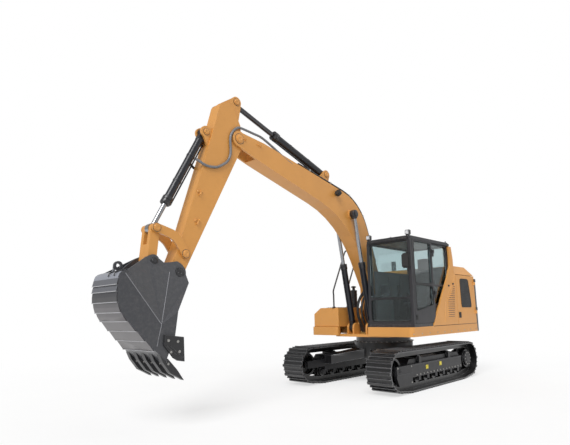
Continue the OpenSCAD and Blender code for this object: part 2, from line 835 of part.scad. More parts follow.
module engine_hood() {
    color(ochre) on_swing() {
        translate([door_gap - weight_front, 0, panel_top + seat_gap]) difference() {
            hood_form(0, 0);
            hood_form(hood_t, overrun);
        }
        both_sides() translate([hood_hinge_x, hood_edge - hood_knuckle, hood_hinge_z]) {
            rotate([-90, 0, 0]) cylinder(r = hinge_r, h = hood_knuckle);
            translate([-hinge_out - 2 * hood_lap, 0, -hinge_r + seat_gap])
                cube([hinge_out + 2 * hood_lap, hood_knuckle, hinge_r]);
        }
    }
}

// Right side: fuel tank in the middle and tool box in front
tank_rear = 60;
tank_chamfer = 120;

tank_wall = 10;

// Closed box of an end view, l long, with a hollow inside
module hollow_box(outline, l) {
    difference() {
        linear_extrude(height = l) polygon(outline);
        translate([0, 0, tank_wall]) linear_extrude(height = l - 2 * tank_wall) polygon(inset(outline, tank_wall));
    }
}

module fuel_tank() {
    h = tank_top - deck_top;
    outer = -house_w / 2 + panel_t;
    color(ochre) on_swing() translate([-bay_front, 0, deck_top]) rotate([90, 0, 90])
        hollow_box([
            [outer, 0], [-box_inner, 0], [-box_inner, h], [outer + tank_chamfer, h], [outer, h - tank_chamfer]
        ], bay_front + tank_rear - seat_gap);
}

module tool_box() {
    h = box_top - deck_top;
    outer = -house_w / 2 + panel_t;
    color(ochre) on_swing() translate([tank_rear, 0, deck_top]) rotate([90, 0, 90])
        hollow_box([
            [outer, 0], [-box_inner, 0], [-box_inner, h], [outer + 1.5 * tank_chamfer, h], [outer, h - tank_chamfer]
        ], tank_front - tank_rear - skirt_t / 2);
}

// Main control valve between the boom brackets and the engine
valve_l = 460;
valve_w = 330;
valve_h = 380;

module control_valve() {
    color(near_black) on_arm()
        translate([-bay_front + panel_t, -valve_w / 2, plate_z + base_t]) cube([valve_l, valve_w, valve_h]);
}

exhaust_r = 55;
exhaust_h = 260;

module exhaust() {
    color(near_black) on_swing() translate([-bay_front - panel_t - tail_r / 5, -box_inner, hood_top + seat_gap])
        difference() {
            cylinder(r = exhaust_r, h = exhaust_h);
            translate([0, 0, overrun]) cylinder(r = exhaust_r - overrun, h = exhaust_h);
        }
}

// Air cleaner on the tool box
cleaner_r = 70;
cleaner_h = 355;
cleaner_cap_r = 30;
cleaner_cap_h = 105;
cleaner_side = 20;

module air_cleaner() {
    color(near_black) on_swing()
        translate([tank_rear + cleaner_r, -box_inner - cleaner_r - cleaner_side, box_top + seat_gap]) {
            cylinder(r = cleaner_r, h = cleaner_h);
            cylinder(r = cleaner_cap_r, h = cleaner_h + cleaner_cap_h);
        }
}

// Handrail on the tool box: rows of share of the tank's reach and share of the rail's height
rail_r_tube = 16;
rail_h = 1240;
rail_shares = [
    [0.935, 0], [0.935, 0.2], [0.945, 0.262], [0.93, 0.302], [0.455, 0.94], [0.4, 0.99], [0.32, 1.005],
    [0.06, 1.0], [-0.02, 0.98], [-0.055, 0.93], [-0.04, 0.87], [0.36, 0.335], [0.385, 0.29], [0.39, 0.24], [0.39, 0]
];

// Bent tube through points: rings of flat sides, each in the plane that halves its bend
tube_sides = 8;

function heading(p, i) =
    let (a = p[max(i - 1, 0)], b = p[i], c = p[min(i + 1, len(p) - 1)])
    i == 0 ? unit(c - b) : i == len(p) - 1 ? unit(b - a) : unit(unit(b - a) + unit(c - b));

module bent_tube(p, r, across) {
    n = len(p);
    m = tube_sides;
    rings = [for (i = [0:n - 1])
        let (t = heading(p, i), e = unit(cross(t, across)), g = cross(e, t))
        for (k = [0:m - 1]) p[i] + r * (cos(k * 360 / m) * e + sin(k * 360 / m) * g)];
    walls = [for (i = [0:n - 2]) for (k = [0:m - 1])
        let (a = i * m + k, b = i * m + (k + 1) % m)
        each [[a, b, a + m], [b, b + m, a + m]]];
    polyhedron(points = rings, faces = concat(walls,
        [[for (k = [m - 1:-1:0]) k]], [[for (k = [0:m - 1]) (n - 1) * m + k]]));
}

module handrails() {
    y = -box_inner - tank_chamfer;
    color(near_black) on_swing()
        bent_tube([for (row = rail_shares) [row[0] * tank_front, y, box_top + seat_gap + row[1] * rail_h]],
            rail_r_tube, [0, 1, 0]);
}

// Cab: floor, front frame, right and rear walls, left rear quarter, roof and door, each with its windows
cab_outer = house_w / 2 - cab_recess;
cab_w = cab_outer - cab_inner;
cab_floor_t = 60;
roof_t = 70;
wall_z = deck_top + cab_floor_t;
wall_h = cab_top - roof_t - wall_z;
post = 58;
lintel = 28;
bar_h = 32;
split_share = 0.303;
rail_share = 0.464;
door_sill_shares = [0.222, 0.147];
quarter_sill_shares = [0.294, 0.222];
roof_edge = 24;
window_sill_share = 0.36;
front_sill_share = 0.03;
glass_gap = 0.3;
pane_round = 60;

module cab_floor() {
    color(dark_grey) on_swing() translate([0, 0, deck_top]) linear_extrude(height = cab_floor_t) polygon([
        [-cab_rear, cab_inner], [cab_front, cab_inner], [cab_front, cab_outer], [slant_foot + door_gap, cab_outer],
        [slant_foot + door_gap, cab_outer - panel_t], [-cab_rear, cab_outer - panel_t]
    ]);
}

// Corners of a plain window between two heights
function pane_rows(l, low, high) = [[post, low], [l - post, low], [l - post, high], [post, high]];

// Two windows with a rail between them, over a sill that runs from one height to another
function split_rows(l, low_a, low_b, rail) = [
    [[post, low_a], [l - post, low_b], [l - post, rail - bar_h / 2], [post, rail - bar_h / 2]],
    pane_rows(l, rail + bar_h / 2, wall_h - lintel)
];

// Window openings with rounded corners, moved in by d
module panes(list, d) {
    for (rows = list) polygon(inset(rounded([for (row = rows) [row[0], row[1], pane_round]]), d));
}

// Wall panel lying in the x-y plane, with its windows
module wall_panel(l, list) {
    linear_extrude(height = cab_wall) difference() {
        square([l, wall_h]);
        panes(list, 0);
    }
}

module wall_pane(list) {
    translate([0, 0, (cab_wall - glass_t) / 2]) linear_extrude(height = glass_t) panes(list, glass_gap);
}

module at_front() { on_swing() translate([cab_front - cab_wall, cab_inner, wall_z]) rotate([90, 0, 90]) children(); }
module at_right() {
    on_swing() translate([-cab_rear + cab_wall, cab_inner + cab_wall, wall_z]) rotate([90, 0, 0]) children();
}
module at_rear() { on_swing() translate([-cab_rear, cab_inner, wall_z]) rotate([90, 0, 90]) children(); }
module at_quarter() {
    on_swing() translate([-cab_rear + cab_wall, cab_outer - panel_t, wall_z]) rotate([90, 0, 0]) children();
}
module at_door() { on_swing() translate([door_hinge_x, cab_outer, wall_z]) rotate([90, 0, 0]) children(); }

front_sill = front_sill_share * wall_h;
side_sill = window_sill_share * wall_h;
right_l = cab_front + cab_rear - 2 * cab_wall;
rear_l = cab_w - panel_t;
quarter_l = cab_rear + door_hinge_x - cab_wall - door_gap;
door_l = cab_front - cab_wall - door_hinge_x - door_gap;
front_panes = split_rows(cab_w, front_sill, front_sill, split_share * wall_h);
right_panes = [pane_rows(right_l, side_sill, wall_h - lintel)];
rear_panes = [pane_rows(rear_l, side_sill, wall_h - lintel)];
quarter_panes = split_rows(quarter_l, quarter_sill_shares[0] * wall_h, quarter_sill_shares[1] * wall_h,
    rail_share * wall_h);
door_panes = split_rows(door_l, door_sill_shares[0] * wall_h, door_sill_shares[1] * wall_h, rail_share * wall_h);

// The door's lower rear corner is cut along the side panel's slanted edge
door_cut_x = slant_foot - slant_slope * (wall_z + door_gap - deck_top) + 2 * door_gap - door_hinge_x;
door_cut_z = deck_top + (slant_foot + 2 * door_gap - door_hinge_x) / slant_slope - wall_z;

module cab_front_frame() { color(dark_grey) at_front() wall_panel(cab_w, front_panes); }
module cab_right_wall() { color(dark_grey) at_right() wall_panel(right_l, right_panes); }
module cab_rear_wall() { color(dark_grey) at_rear() wall_panel(rear_l, rear_panes); }
door_hinge_shares = [0.3, 0.82];

module at_door_hinges() {
    for (share = door_hinge_shares)
        translate([door_hinge_x, house_w / 2 + hinge_out, wall_z + share * wall_h]) children();
}

module cab_left_quarter() {
    reach = house_w / 2 + hinge_out - cab_outer + panel_t;
    color(dark_grey) {
        at_quarter() wall_panel(quarter_l, quarter_panes);
        on_swing() at_door_hinges() translate([0, 0, knuckle_h + seat_gap]) {
            cylinder(r = hinge_r, h = knuckle_h);
            translate([-leaf_l, -hinge_out, 0]) cube([leaf_l, hinge_out, knuckle_h]);
            translate([-leaf_l, -reach, 0]) cube([leaf_l - door_gap, reach, knuckle_h]);
        }
    }
}

module windshield() { color(glass) at_front() wall_pane(front_panes); }

module cab_windows() {
    color(glass) {
        at_right() wall_pane(right_panes);
        at_rear() wall_pane(rear_panes);
        at_quarter() wall_pane(quarter_panes);
    }
}

roof_outline = rounded([
    [0, 0, pane_round / 2], [cab_front + cab_rear, 0, pane_round / 2],
    [cab_front + cab_rear, cab_w, pane_round / 2], [0, cab_w, pane_round / 2]
]);

module cab_roof() {
    color(dark_grey) on_swing() translate([-cab_rear, cab_inner, cab_top - roof_t]) {
        linear_extrude(height = roof_t - roof_edge) polygon(roof_outline);
        linear_extrude(height = roof_t) polygon(inset(roof_outline, roof_edge));
    }
}

module cab_door() {
    color(dark_grey) at_door() linear_extrude(height = cab_wall) difference() {
        polygon([[door_cut_x, door_gap], [door_l, door_gap], [door_l, wall_h - door_gap], [0, wall_h - door_gap],
            [0, door_cut_z]]);
        panes(door_panes, 0);
    }
    reach = house_w / 2 + hinge_out - cab_outer;
    color(dark_grey) on_swing() at_door_hinges() {
        cylinder(r = hinge_r, h = knuckle_h);
        translate([0, -reach, 0]) cube([leaf_l, reach, knuckle_h]);
    }
}

module door_glass() {
    color(glass) at_door() wall_pane(door_panes);
}

// Seat and consoles
seat_share = 0.49;
seat_w = seat_share * cab_w;
seat_l = 480;
seat_z = 420;
cushion_t = 110;
back_h = 640;
head_w = 260;

module seat() {
    mid_y = (cab_inner + cab_outer) / 2;
    color(near_black) on_swing() translate([-seat_l, mid_y, wall_z]) {
        translate([seat_l / 4, -seat_w / 4, 0]) cube([seat_l / 2, seat_w / 2, seat_z - cushion_t]);
        translate([0, -seat_w / 2, seat_z - cushion_t]) cube([seat_l, seat_w, cushion_t]);
        translate([-cushion_t, -seat_w / 2, seat_z - cushion_t]) cube([cushion_t, seat_w, back_h + cushion_t]);
        translate([-cushion_t, -head_w / 2, seat_z + back_h]) cube([cushion_t, head_w, head_w]);
    }
}

console_share = 0.13;
console_w = console_share * cab_w;
console_h = 520;
lever_r = 22;
lever_h = 190;

module consoles() {
    mid_y = (cab_inner + cab_outer) / 2;
    color(near_black) on_swing() for (sy = [-1, 1])
        translate([-seat_l / 2, mid_y + sy * (seat_w / 2 + console_w / 2 + side_gap), wall_z]) {
            translate([-seat_l / 2, -console_w / 2, 0]) cube([seat_l * 1.25, console_w, console_h]);
            translate([seat_l / 2, 0, console_h]) cylinder(r = lever_r, h = lever_h);
        }
}

// Mirrors and lamps
mirror_w = 170;
mirror_h = 270;
mirror_t = 60;
lamp_r = 62;
lamp_l = 70;
lamp_side = 140;

module mirrors() {
    color(near_black) on_swing() {
        translate([cab_front, cab_outer - mirror_w, cab_top - roof_t - 2 * mirror_h])
            cube([mirror_t, mirror_w, mirror_h]);
    }
}

module work_lamps() {
    color(near_black) on_swing() for (y = [cab_inner + lamp_side, cab_outer - lamp_side])
        translate([cab_front - lamp_l - overrun, y, cab_top + lamp_r]) rotate([0, 90, 0]) cylinder(r = lamp_r, h = lamp_l);
}

// Boom: a hollow box with a fork at the nose; rows of length share, length share and corner radius
boom_bend_r = 1070;
boom_belly_r = 2100;
boom_boss_r = 150;
nose_boss_r = 130;
boom_shares = [
    [0.008, -0.0314, 0], [0.3844, 0.1645, boom_belly_r], [0.898, -0.001, 0], [0.9957, -0.027, 0],
    [1.0043, 0.027, 0], [0.9106, 0.0747, 0], [0.3576, 0.2933, boom_bend_r], [-0.012, 0.0297, 0]
];
boom_outline = rounded(scaled(boom_shares, boom_len, boom_len));
fork_depth = 430;
fork_wall = 30;
lug_t = 36;
lug_r = 92;

module boom_cavity() {
    intersection() {
        polygon(inset(boom_outline, boom_flange_t));
        translate([2 * boom_boss_r, -boom_len]) square([boom_len - fork_depth - fork_wall - 2 * boom_boss_r, 2 * boom_len]);
    }
}

module boom() {
    nose = [boom_len, 0];
    lug_y = eye_w / 2 + side_gap + lug_t / 2;
    color(ochre) on_arm() side(boom_foot, boom_angle) {
        difference() {
            union() {
                slab(boom_w) {
                    polygon(boom_outline);
                    translate(nose) circle(r = nose_boss_r);
                }
                slab(boom_foot_w) circle(r = boom_boss_r);
                // Bosses of the boom cylinders' pin
                cross_pin(boom_cyl_pin, lug_r, 2 * (boom_cyl_side - eye_pin_w / 2 - seat_gap));
                // Lugs for the stick cylinder's foot
                slab_pair(lug_t, lug_y) {
                    translate(stick_foot_pin) circle(r = lug_r);
                    polygon([stick_foot_pin + [-lug_r, 0], stick_foot_pin + [-2 * lug_r, -3 * lug_r],
                        stick_foot_pin + [1.5 * lug_r, -3.6 * lug_r], stick_foot_pin + [lug_r, 0]]);
                }
            }
            slab(boom_w - 2 * boom_side_t) boom_cavity();
            // Slot of the fork
            slab(stick_w + 2 * side_gap) translate([boom_len - fork_depth, -boom_len])
                square([fork_depth + 2 * nose_boss_r, 2 * boom_len]);
            cross_pin([0, 0], main_pin_r + pin_fit, boom_foot_w + overrun);
        }
        cross_pin(nose, main_pin_r, boom_w);
        cross_pin(stick_foot_pin, main_pin_r, 2 * lug_y);
    }
}

// Steel lines along the boom's back
line_r = 15;
line_spread = 46;
line_first = 12;
line_last = 18;
line_ends_share = [0.42, 0.3];

module boom_lines() {
    raised = inset(boom_outline, -line_r - seat_gap);
    points = concat(
        [raised[line_first] + line_ends_share[0] * (raised[line_first - 1] - raised[line_first])],
        [for (i = [line_first:line_last]) raised[i]],
        [raised[line_last] + line_ends_share[1] * (raised[line_last + 1] - raised[line_last])]);
    color(near_black) on_arm() side(boom_foot, boom_angle) for (k = [-1, 1])
        bent_tube([for (p = points) [p[0], p[1], k * (boom_w / 2 - line_spread)]], line_r, [0, 0, 1]);
}

boom_lamp_share = [0.5, 0.205];

module boom_lamp() {
    color(near_black) on_arm() side(boom_foot, boom_angle)
        translate([boom_lamp_share[0] * boom_len, boom_lamp_share[1] * boom_len, -boom_w / 2 - lamp_r])
            rotate([0, 90, 0]) cylinder(r = lamp_r, h = lamp_l);
}

// Cylinders of the arm
boom_cyl_span = boom_rod_at - boom_barrel_at;
stick_cyl_span = stick_rod_at - stick_barrel_at;
bucket_cyl_span = link_at - bucket_barrel_at;

module along(at, span) { translate([at[0], 0, at[1]]) rotate([0, -aim(span), 0]) children(); }

module boom_barrels() {
    color(near_black) on_arm() for (sy = [-1, 1]) translate([0, sy * boom_cyl_side, 0])
        along(boom_barrel_at, boom_cyl_span)
            barrel(boom_barrel_r, boom_rod_r, boom_eye_r, boom_cyl_min, boom_cyl_max, boom_cyl_head);
}

module boom_rods() {
    color(chrome) on_arm() for (sy = [-1, 1]) translate([0, sy * boom_cyl_side, 0])
        along(boom_barrel_at, boom_cyl_span)
            rod(boom_rod_r, boom_eye_r, boom_cyl_min, boom_cyl_max, boom_cyl_head, norm(boom_cyl_span));
}

module stick_barrel() {
    color(near_black) on_arm() along(stick_barrel_at, stick_cyl_span)
        barrel(stick_barrel_r, stick_rod_r, stick_eye_r, stick_cyl_min, stick_cyl_max, stick_cyl_head);
}

module stick_rod() {
    color(chrome) on_arm() along(stick_barrel_at, stick_cyl_span)
        rod(stick_rod_r, stick_eye_r, stick_cyl_min, stick_cyl_max, stick_cyl_head, norm(stick_cyl_span));
}

module bucket_barrel() {
    color(near_black) on_arm() along(bucket_barrel_at, bucket_cyl_span)
        barrel(bucket_barrel_r, bucket_rod_r, bucket_eye_r, bucket_cyl_min, bucket_cyl_max, bucket_cyl_head);
}

module bucket_rod() {
    color(chrome) on_arm() along(bucket_barrel_at, bucket_cyl_span)
        rod(bucket_rod_r, bucket_eye_r, bucket_cyl_min, bucket_cyl_max, bucket_cyl_head, norm(bucket_cyl_span));
}

// Stick: a hollow tapered box; rows of length share, length share and corner radius
stick_tail_r = 110;
stick_boss_r = 132;
tip_boss_r = 105;
stick_shares = [
    [0.0, -0.052, 0], [1.0, -0.043, 0], [1.0, 0.043, 0], [0.822, 0.060, 0], [0.10, 0.178, 0],
    [-0.135, 0.224, stick_tail_r], [-0.185, 0.150, stick_tail_r], [-0.10, 0.028, 0], [-0.052, 0.0, 0]
];
stick_outline = rounded(scaled(stick_shares, stick_len, stick_len));
tail_lug_shares = [[-0.236, 0.160], [-0.12, 0.222], [-0.10, 0.04], [-0.236, 0.078]];

module stick_cavity() {
    intersection() {
        polygon(inset(stick_outline, stick_flange_t));
        translate([1.5 * stick_boss_r, -stick_len]) square([idler_pin[0] - 3 * stick_boss_r, 2 * stick_len]);
    }
}

module stick() {
    tip = [stick_len, 0];
    lug_y = eye_w / 2 + side_gap + lug_t / 2;
    color(ochre) on_arm() side(boom_nose, stick_angle) {
        difference() {
            union() {
                slab(stick_w) {
                    polygon(stick_outline);
                    circle(r = stick_boss_r);
                    translate(tip) circle(r = tip_boss_r);
                }
                slab_pair(lug_t, lug_y) {
                    translate(stick_cyl_pin) circle(r = lug_r);
                    polygon(tail_lug_shares * stick_len);
                    translate(bucket_foot_pin) circle(r = lug_r);
                    polygon([bucket_foot_pin + [-lug_r, 0], bucket_foot_pin + [-2 * lug_r, -2 * lug_r],
                        bucket_foot_pin + [3 * lug_r, -2.4 * lug_r], bucket_foot_pin + [lug_r, 0]]);
                }
            }
            slab(stick_w - 2 * stick_side_t) stick_cavity();
            cross_pin([0, 0], main_pin_r + pin_fit, stick_w + overrun);
            cross_pin(tip, link_pin_r + pin_fit, stick_w + overrun);
        }
        cross_pin(bucket_foot_pin, main_pin_r, 2 * lug_y);
        cross_pin(idler_pin, link_pin_r, stick_w + 2 * (link_t + 2 * side_gap));
    }
}

// Bucket linkage: two idler links outside the stick, and a forked power link to the bucket
link_t = 34;
link_r = 64;
link_bow_share = 0.19;
fork_inner = eye_w + 2 * side_gap;
fork_t = 34;
power_w = stick_w;

module idler_links() {
    span = link_at - idler_at;
    y = stick_w / 2 + side_gap + link_t / 2;
    bow = link_bow_share * idler_len;
    color(ochre) on_arm() side(idler_at, aim(span)) {
        difference() {
            slab_pair(link_t, y) {
                circle(r = link_r);
                translate([idler_len, 0]) circle(r = link_r);
                polygon(rounded([
                    [0, -link_r, 0], [idler_len / 2, bow - link_r, idler_len / 2], [idler_len, -link_r, 0],
                    [idler_len, link_r, 0], [idler_len / 2, bow + link_r, idler_len / 2], [0, link_r, 0]
                ]));
            }
            cross_pin([0, 0], link_pin_r + pin_fit, 2 * y + link_t + overrun);
        }
        for (sy = [-1, 1])
            cross_pin([idler_len, 0], link_pin_r, y - fork_inner / 2, sy * (y + fork_inner / 2) / 2);
    }
}

module power_link() {
    span = bucket_pin_at - link_at;
    fork_y = (fork_inner + power_w) / 4;
    fork_w = (power_w - fork_inner) / 2;
    color(ochre) on_arm() side(link_at, aim(span)) {
        difference() {
            union() {
                slab_pair(fork_w, fork_y) {
                    circle(r = link_r);
                    translate([0, -link_r]) square([power_len / 2, 2 * link_r]);
                }
                slab(power_w) {
                    translate([power_len / 2, -link_r]) square([power_len / 2, 2 * link_r]);
                    translate([power_len, 0]) circle(r = link_r);
                }
            }
            cross_pin([0, 0], link_pin_r + pin_fit, power_w + overrun);
        }
        cross_pin([power_len, 0], link_pin_r, power_w + 2 * side_gap - 2 * seat_gap);
    }
}

// Bucket: a tapered shell; rows of tooth reach share, tooth reach share and corner radius
bucket_back_r = 480;
bucket_top_r = 90;
mouth_shares = [[0.02, 0.105, 0], [0.386, 0.098, 0], [0.601, 0.115, 0], [0.83, 0.190, 0]];
shell_shares = [[0.3645, 0.656, bucket_back_r], [0.055, 0.656, bucket_top_r], [0.02, 0.55, 0]];
shell_outline = rounded(concat(scaled(mouth_shares, tooth_reach, tooth_reach),
    scaled(shell_shares, tooth_reach, tooth_reach)));
bucket_back_share = 0.656;
bucket_front_share = 0.10;
ear_t = 40;
ear_r = 125;
ear_pin_r = 88;
lift_share = [-0.028, 0.555];
lift_at = lift_share * tooth_reach;
lift_t = 32;
lift_r = 58;
lift_bore_r = 28;
lift_drop = 72;

// Outline of the hinge ears, in tooth reach shares
ear_shares = [
    [-0.125, 0.342], [-0.149, 0.291], [-0.136, 0.24], [-0.085, 0.156], [-0.113, 0.011], [-0.085, -0.045],
    [0.0, -0.07], [0.028, -0.03], [0.028, 0.5], [-0.053, 0.427]
];

// Cheek sheets, folded from the ears out to the sides: rows of two tooth reach shares and the share of the
// way from the ear's plane to the side, with the fold's corner first
cheek_shares = [
    [0.5, 0.249, 1], [0.05, 0.61, 1], [-0.125, 0.342, 0], [-0.149, 0.291, 0], [-0.136, 0.24, 0],
    [-0.085, 0.156, 0], [-0.113, 0.011, 0], [-0.085, -0.045, 0], [0.096, -0.094, 0.25], [0.376, 0.097, 1]
];

function side_half(share) = lip_w / 2 - (lip_w - back_w) / 2 * (share - bucket_front_share)
    / (bucket_back_share - bucket_front_share);

// Solid on the fan of the cheek's rows, from drop below the cheek's outer face up to it or up to a flat top
module cheek(drop, top) {
    ear_out = stick_w / 2 + side_gap + ear_t;
    n = len(cheek_shares);
    face = [for (row = cheek_shares) ear_out + row[2] * (side_half(row[1]) - ear_out)];
    low = [for (i = [0:n - 1])
        [cheek_shares[i][0] * tooth_reach, cheek_shares[i][1] * tooth_reach, face[i] - drop]];
    high = [for (i = [0:n - 1]) [low[i][0], low[i][1], top > 0 ? top : face[i]]];
    polyhedron(points = concat(low, high), faces = concat(
        [for (i = [1:n - 2]) [0, i, i + 1]],
        [for (i = [1:n - 2]) [n, n + i + 1, n + i]],
        [for (i = [0:n - 1]) [i, n + i, n + (i + 1) % n, (i + 1) % n]]
    ));
}

// Half widths of the shell at its front and its back, as a plan wedge
module taper_wedge(d) {
    front = bucket_front_share * tooth_reach;
    back = bucket_back_share * tooth_reach;
    slope = (lip_w - back_w) / 2 / (back - front);
    reach = back + 2 * front;
    near = lip_w / 2 + slope * 2 * front - d;
    far = lip_w / 2 - slope * (reach - front) - d;
    rotate([0, 90, 0]) translate([0, 0, -tooth_reach]) linear_extrude(height = 3 * tooth_reach)
        polygon([[-near, -front], [near, -front], [far, reach], [-far, reach]]);
}

module bucket() {
    ear_y = stick_w / 2 + side_gap + ear_t / 2;
    hollow = rounded(concat(
        [[0.02 * tooth_reach + shell_t, -0.2 * tooth_reach, 0], [0.83 * tooth_reach, -0.2 * tooth_reach, 0],
            [0.83 * tooth_reach - shell_t, 0.190 * tooth_reach - shell_t / 2, 0]],
        [[0.3645 * tooth_reach - shell_t / 2, 0.656 * tooth_reach - shell_t, bucket_back_r - shell_t],
            [0.055 * tooth_reach + shell_t, 0.656 * tooth_reach - shell_t, bucket_top_r - shell_t],
            [0.02 * tooth_reach + shell_t, 0.55 * tooth_reach, 0]]));
    color(dark_grey) on_arm() side(stick_tip, bucket_angle) {
        difference() {
            intersection() {
                slab(lip_w) polygon(shell_outline);
                taper_wedge(0);
            }
            intersection() {
                slab(lip_w) polygon(hollow);
                taper_wedge(shell_t);
            }
            for (m = [0, 1]) mirror([0, 0, m]) cheek(0, lip_w);
        }
        for (m = [0, 1]) mirror([0, 0, m]) cheek(shell_t, 0);
        // Hinge ears with the pins of the stick and the power link
        slab_pair(ear_t, ear_y) {
            circle(r = ear_r);
            translate(bucket_pin) circle(r = ear_pin_r);
            polygon(ear_shares * tooth_reach);
        }
        cross_pin([0, 0], link_pin_r, 2 * ear_y + ear_t);
        // Lifting eye on the bucket's back
        slab(lift_t) difference() {
            union() {
                translate(lift_at) circle(r = lift_r);
                translate(lift_at - [0, lift_r]) square([lift_drop, 2 * lift_r]);
            }
            translate(lift_at) circle(r = lift_bore_r);
        }
    }
}

// Wear straps across the back: each is thick on the tooth side and thin behind
strap_shares = [0.29, 0.53, 0.77, 1];
strap_runs = [[0, 1], [1, 2], [2, 3], [3, 4, 5], [5, 6, 7], [7, 8, 9], [9, 10], [10, 11]];
strap_t = 18;
strap_thin = 5;
strap_edge = shell_outline[4] - shell_outline[3];
strap_points = concat([for (share = strap_shares) shell_outline[3] + share * strap_edge],
    [for (i = [5:10]) shell_outline[i]], [(shell_outline[10] + shell_outline[11]) / 2, shell_outline[11]]);

strap_gap = 6;

module strap(q) {
    n = len(q) - 1;
    p = [for (i = [0:n]) i < n ? q[i] : q[n] - unit(q[n] - q[n - 1]) * strap_gap];
    out = [for (i = [0:n]) -left_of(unit(p[min(i + 1, n)] - p[max(i - 1, 0)]))];
    polygon(concat([for (i = [0:n]) p[i] + out[i] * seat_gap],
        [for (i = [n:-1:0]) p[i] + out[i] * (strap_t + (strap_thin - strap_t) * i / n)]));
}

module wear_straps() {
    color(dark_grey) on_arm() side(stick_tip, bucket_angle) intersection() {
        slab(lip_w) for (run = strap_runs) strap([for (i = run) strap_points[i]]);
        taper_wedge(0);
    }
}

// Teeth: rows of reach share and reach share down to the tip
tooth_shares = [[0.735, 0.275], [0.80, 0.175], [0.90, 0.075], [1.0, -0.003], [0.93, 0.14], [0.83, 0.225]];
tooth_w = 78;

module bucket_teeth() {
    step = (lip_w - tooth_w) / (tooth_count - 1);
    color(near_black) on_arm() side(stick_tip, bucket_angle)
        for (i = [0:tooth_count - 1])
            difference() {
                slab(tooth_w, (i - (tooth_count - 1) / 2) * step) polygon(tooth_shares * tooth_reach);
                slab(2 * lip_w) polygon(shell_outline);
            }
}

cutter_shares = [[0.59, 0.227], [0.61, 0.044], [0.83, 0.025], [0.82, 0.09], [0.795, 0.131], [0.683, 0.225]];
cutter_t = 36;

module side_cutters() {
    color(near_black) on_arm() side(stick_tip, bucket_angle)
        difference() {
            intersection() {
                slab(2 * lip_w) polygon(cutter_shares * tooth_reach);
                taper_wedge(-cutter_t);
            }
            taper_wedge(-seat_gap);
        }
}

carbody();
track_frame_left();
track_frame_right();
track_left();
track_right();
front_idlers();
drive_sprockets();
track_rollers();
swing_bearing();
revolving_frame();
deck_left();
deck_right();
counterweight();
engine_block();
engine_bulkhead();
left_side_panel();
right_side_panel();
fuel_tank();
tool_box();
control_valve();
exhaust();
air_cleaner();
handrails();
cab_floor();
cab_front_frame();
cab_right_wall();
cab_rear_wall();
cab_left_quarter();
cab_roof();
windshield();
cab_windows();
seat();
consoles();
mirrors();
work_lamps();
cab_door();
door_glass();
left_door();
right_door();
engine_hood();
boom();
boom_lines();
boom_lamp();
boom_barrels();
boom_rods();
stick();
stick_barrel();
stick_rod();
bucket();
wear_straps();
bucket_teeth();
side_cutters();
bucket_barrel();
bucket_rod();
idler_links();
power_link();
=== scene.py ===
import json
from math import copysign, cos, exp, pi, radians, sin

import bmesh
import bpy
from mathutils import Matrix, Vector


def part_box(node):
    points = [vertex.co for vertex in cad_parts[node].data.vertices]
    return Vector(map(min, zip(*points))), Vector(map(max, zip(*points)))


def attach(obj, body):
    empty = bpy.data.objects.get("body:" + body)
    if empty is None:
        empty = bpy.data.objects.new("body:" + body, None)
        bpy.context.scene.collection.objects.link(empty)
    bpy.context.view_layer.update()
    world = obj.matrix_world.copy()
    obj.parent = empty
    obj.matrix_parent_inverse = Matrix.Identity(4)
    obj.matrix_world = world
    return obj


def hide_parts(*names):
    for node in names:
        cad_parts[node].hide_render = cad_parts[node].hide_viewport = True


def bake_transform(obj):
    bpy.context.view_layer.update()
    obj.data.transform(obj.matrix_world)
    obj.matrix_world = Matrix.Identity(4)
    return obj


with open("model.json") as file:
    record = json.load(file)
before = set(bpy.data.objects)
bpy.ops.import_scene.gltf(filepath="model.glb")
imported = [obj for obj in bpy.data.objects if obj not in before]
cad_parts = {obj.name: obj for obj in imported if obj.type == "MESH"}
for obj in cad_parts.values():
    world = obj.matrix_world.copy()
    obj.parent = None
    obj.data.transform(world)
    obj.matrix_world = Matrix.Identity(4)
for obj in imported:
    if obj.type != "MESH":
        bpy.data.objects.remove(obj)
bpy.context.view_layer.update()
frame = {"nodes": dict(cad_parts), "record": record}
nodes = frame["nodes"]
scene = bpy.context.scene


def linked(name, data):
    obj = bpy.data.objects.new(name, data)
    scene.collection.objects.link(obj)
    return obj


# Camera at the photo's viewing point
PHOTO_W, PHOTO_H = 570, 445
FOCAL_PX = 459.56
CENTRE_PX = (304.18, 235.4)
SENSOR_MM = 36.0
CLIP_END = 500
SWING_BACK = 1.768
CAM_AT = Vector((8.3368 - SWING_BACK, 5.5002, 1.3958))
CAM_AZ, CAM_EL, CAM_ROLL = (radians(a) for a in (42.71, -9.60, -1.15))


def make_camera():
    flat = cos(CAM_EL)
    back = Vector((flat * cos(CAM_AZ), flat * sin(CAM_AZ), sin(CAM_EL)))
    ahead = -back
    right = ahead.cross(Vector((0, 0, 1))).normalized()
    up = right.cross(ahead)
    c, s = cos(CAM_ROLL), sin(CAM_ROLL)
    right, up = c * right + s * up, c * up - s * right
    data = bpy.data.cameras.new("photo_camera")
    data.sensor_width = SENSOR_MM
    data.lens = FOCAL_PX / PHOTO_W * SENSOR_MM
    data.shift_x = (PHOTO_W / 2 - CENTRE_PX[0]) / PHOTO_W
    data.shift_y = (CENTRE_PX[1] - PHOTO_H / 2) / PHOTO_W
    data.clip_end = CLIP_END
    cam = linked("photo_camera", data)
    axes = Matrix((right, up, back)).transposed().to_4x4()
    cam.matrix_world = Matrix.Translation(CAM_AT) @ axes
    scene.camera = cam


make_camera()


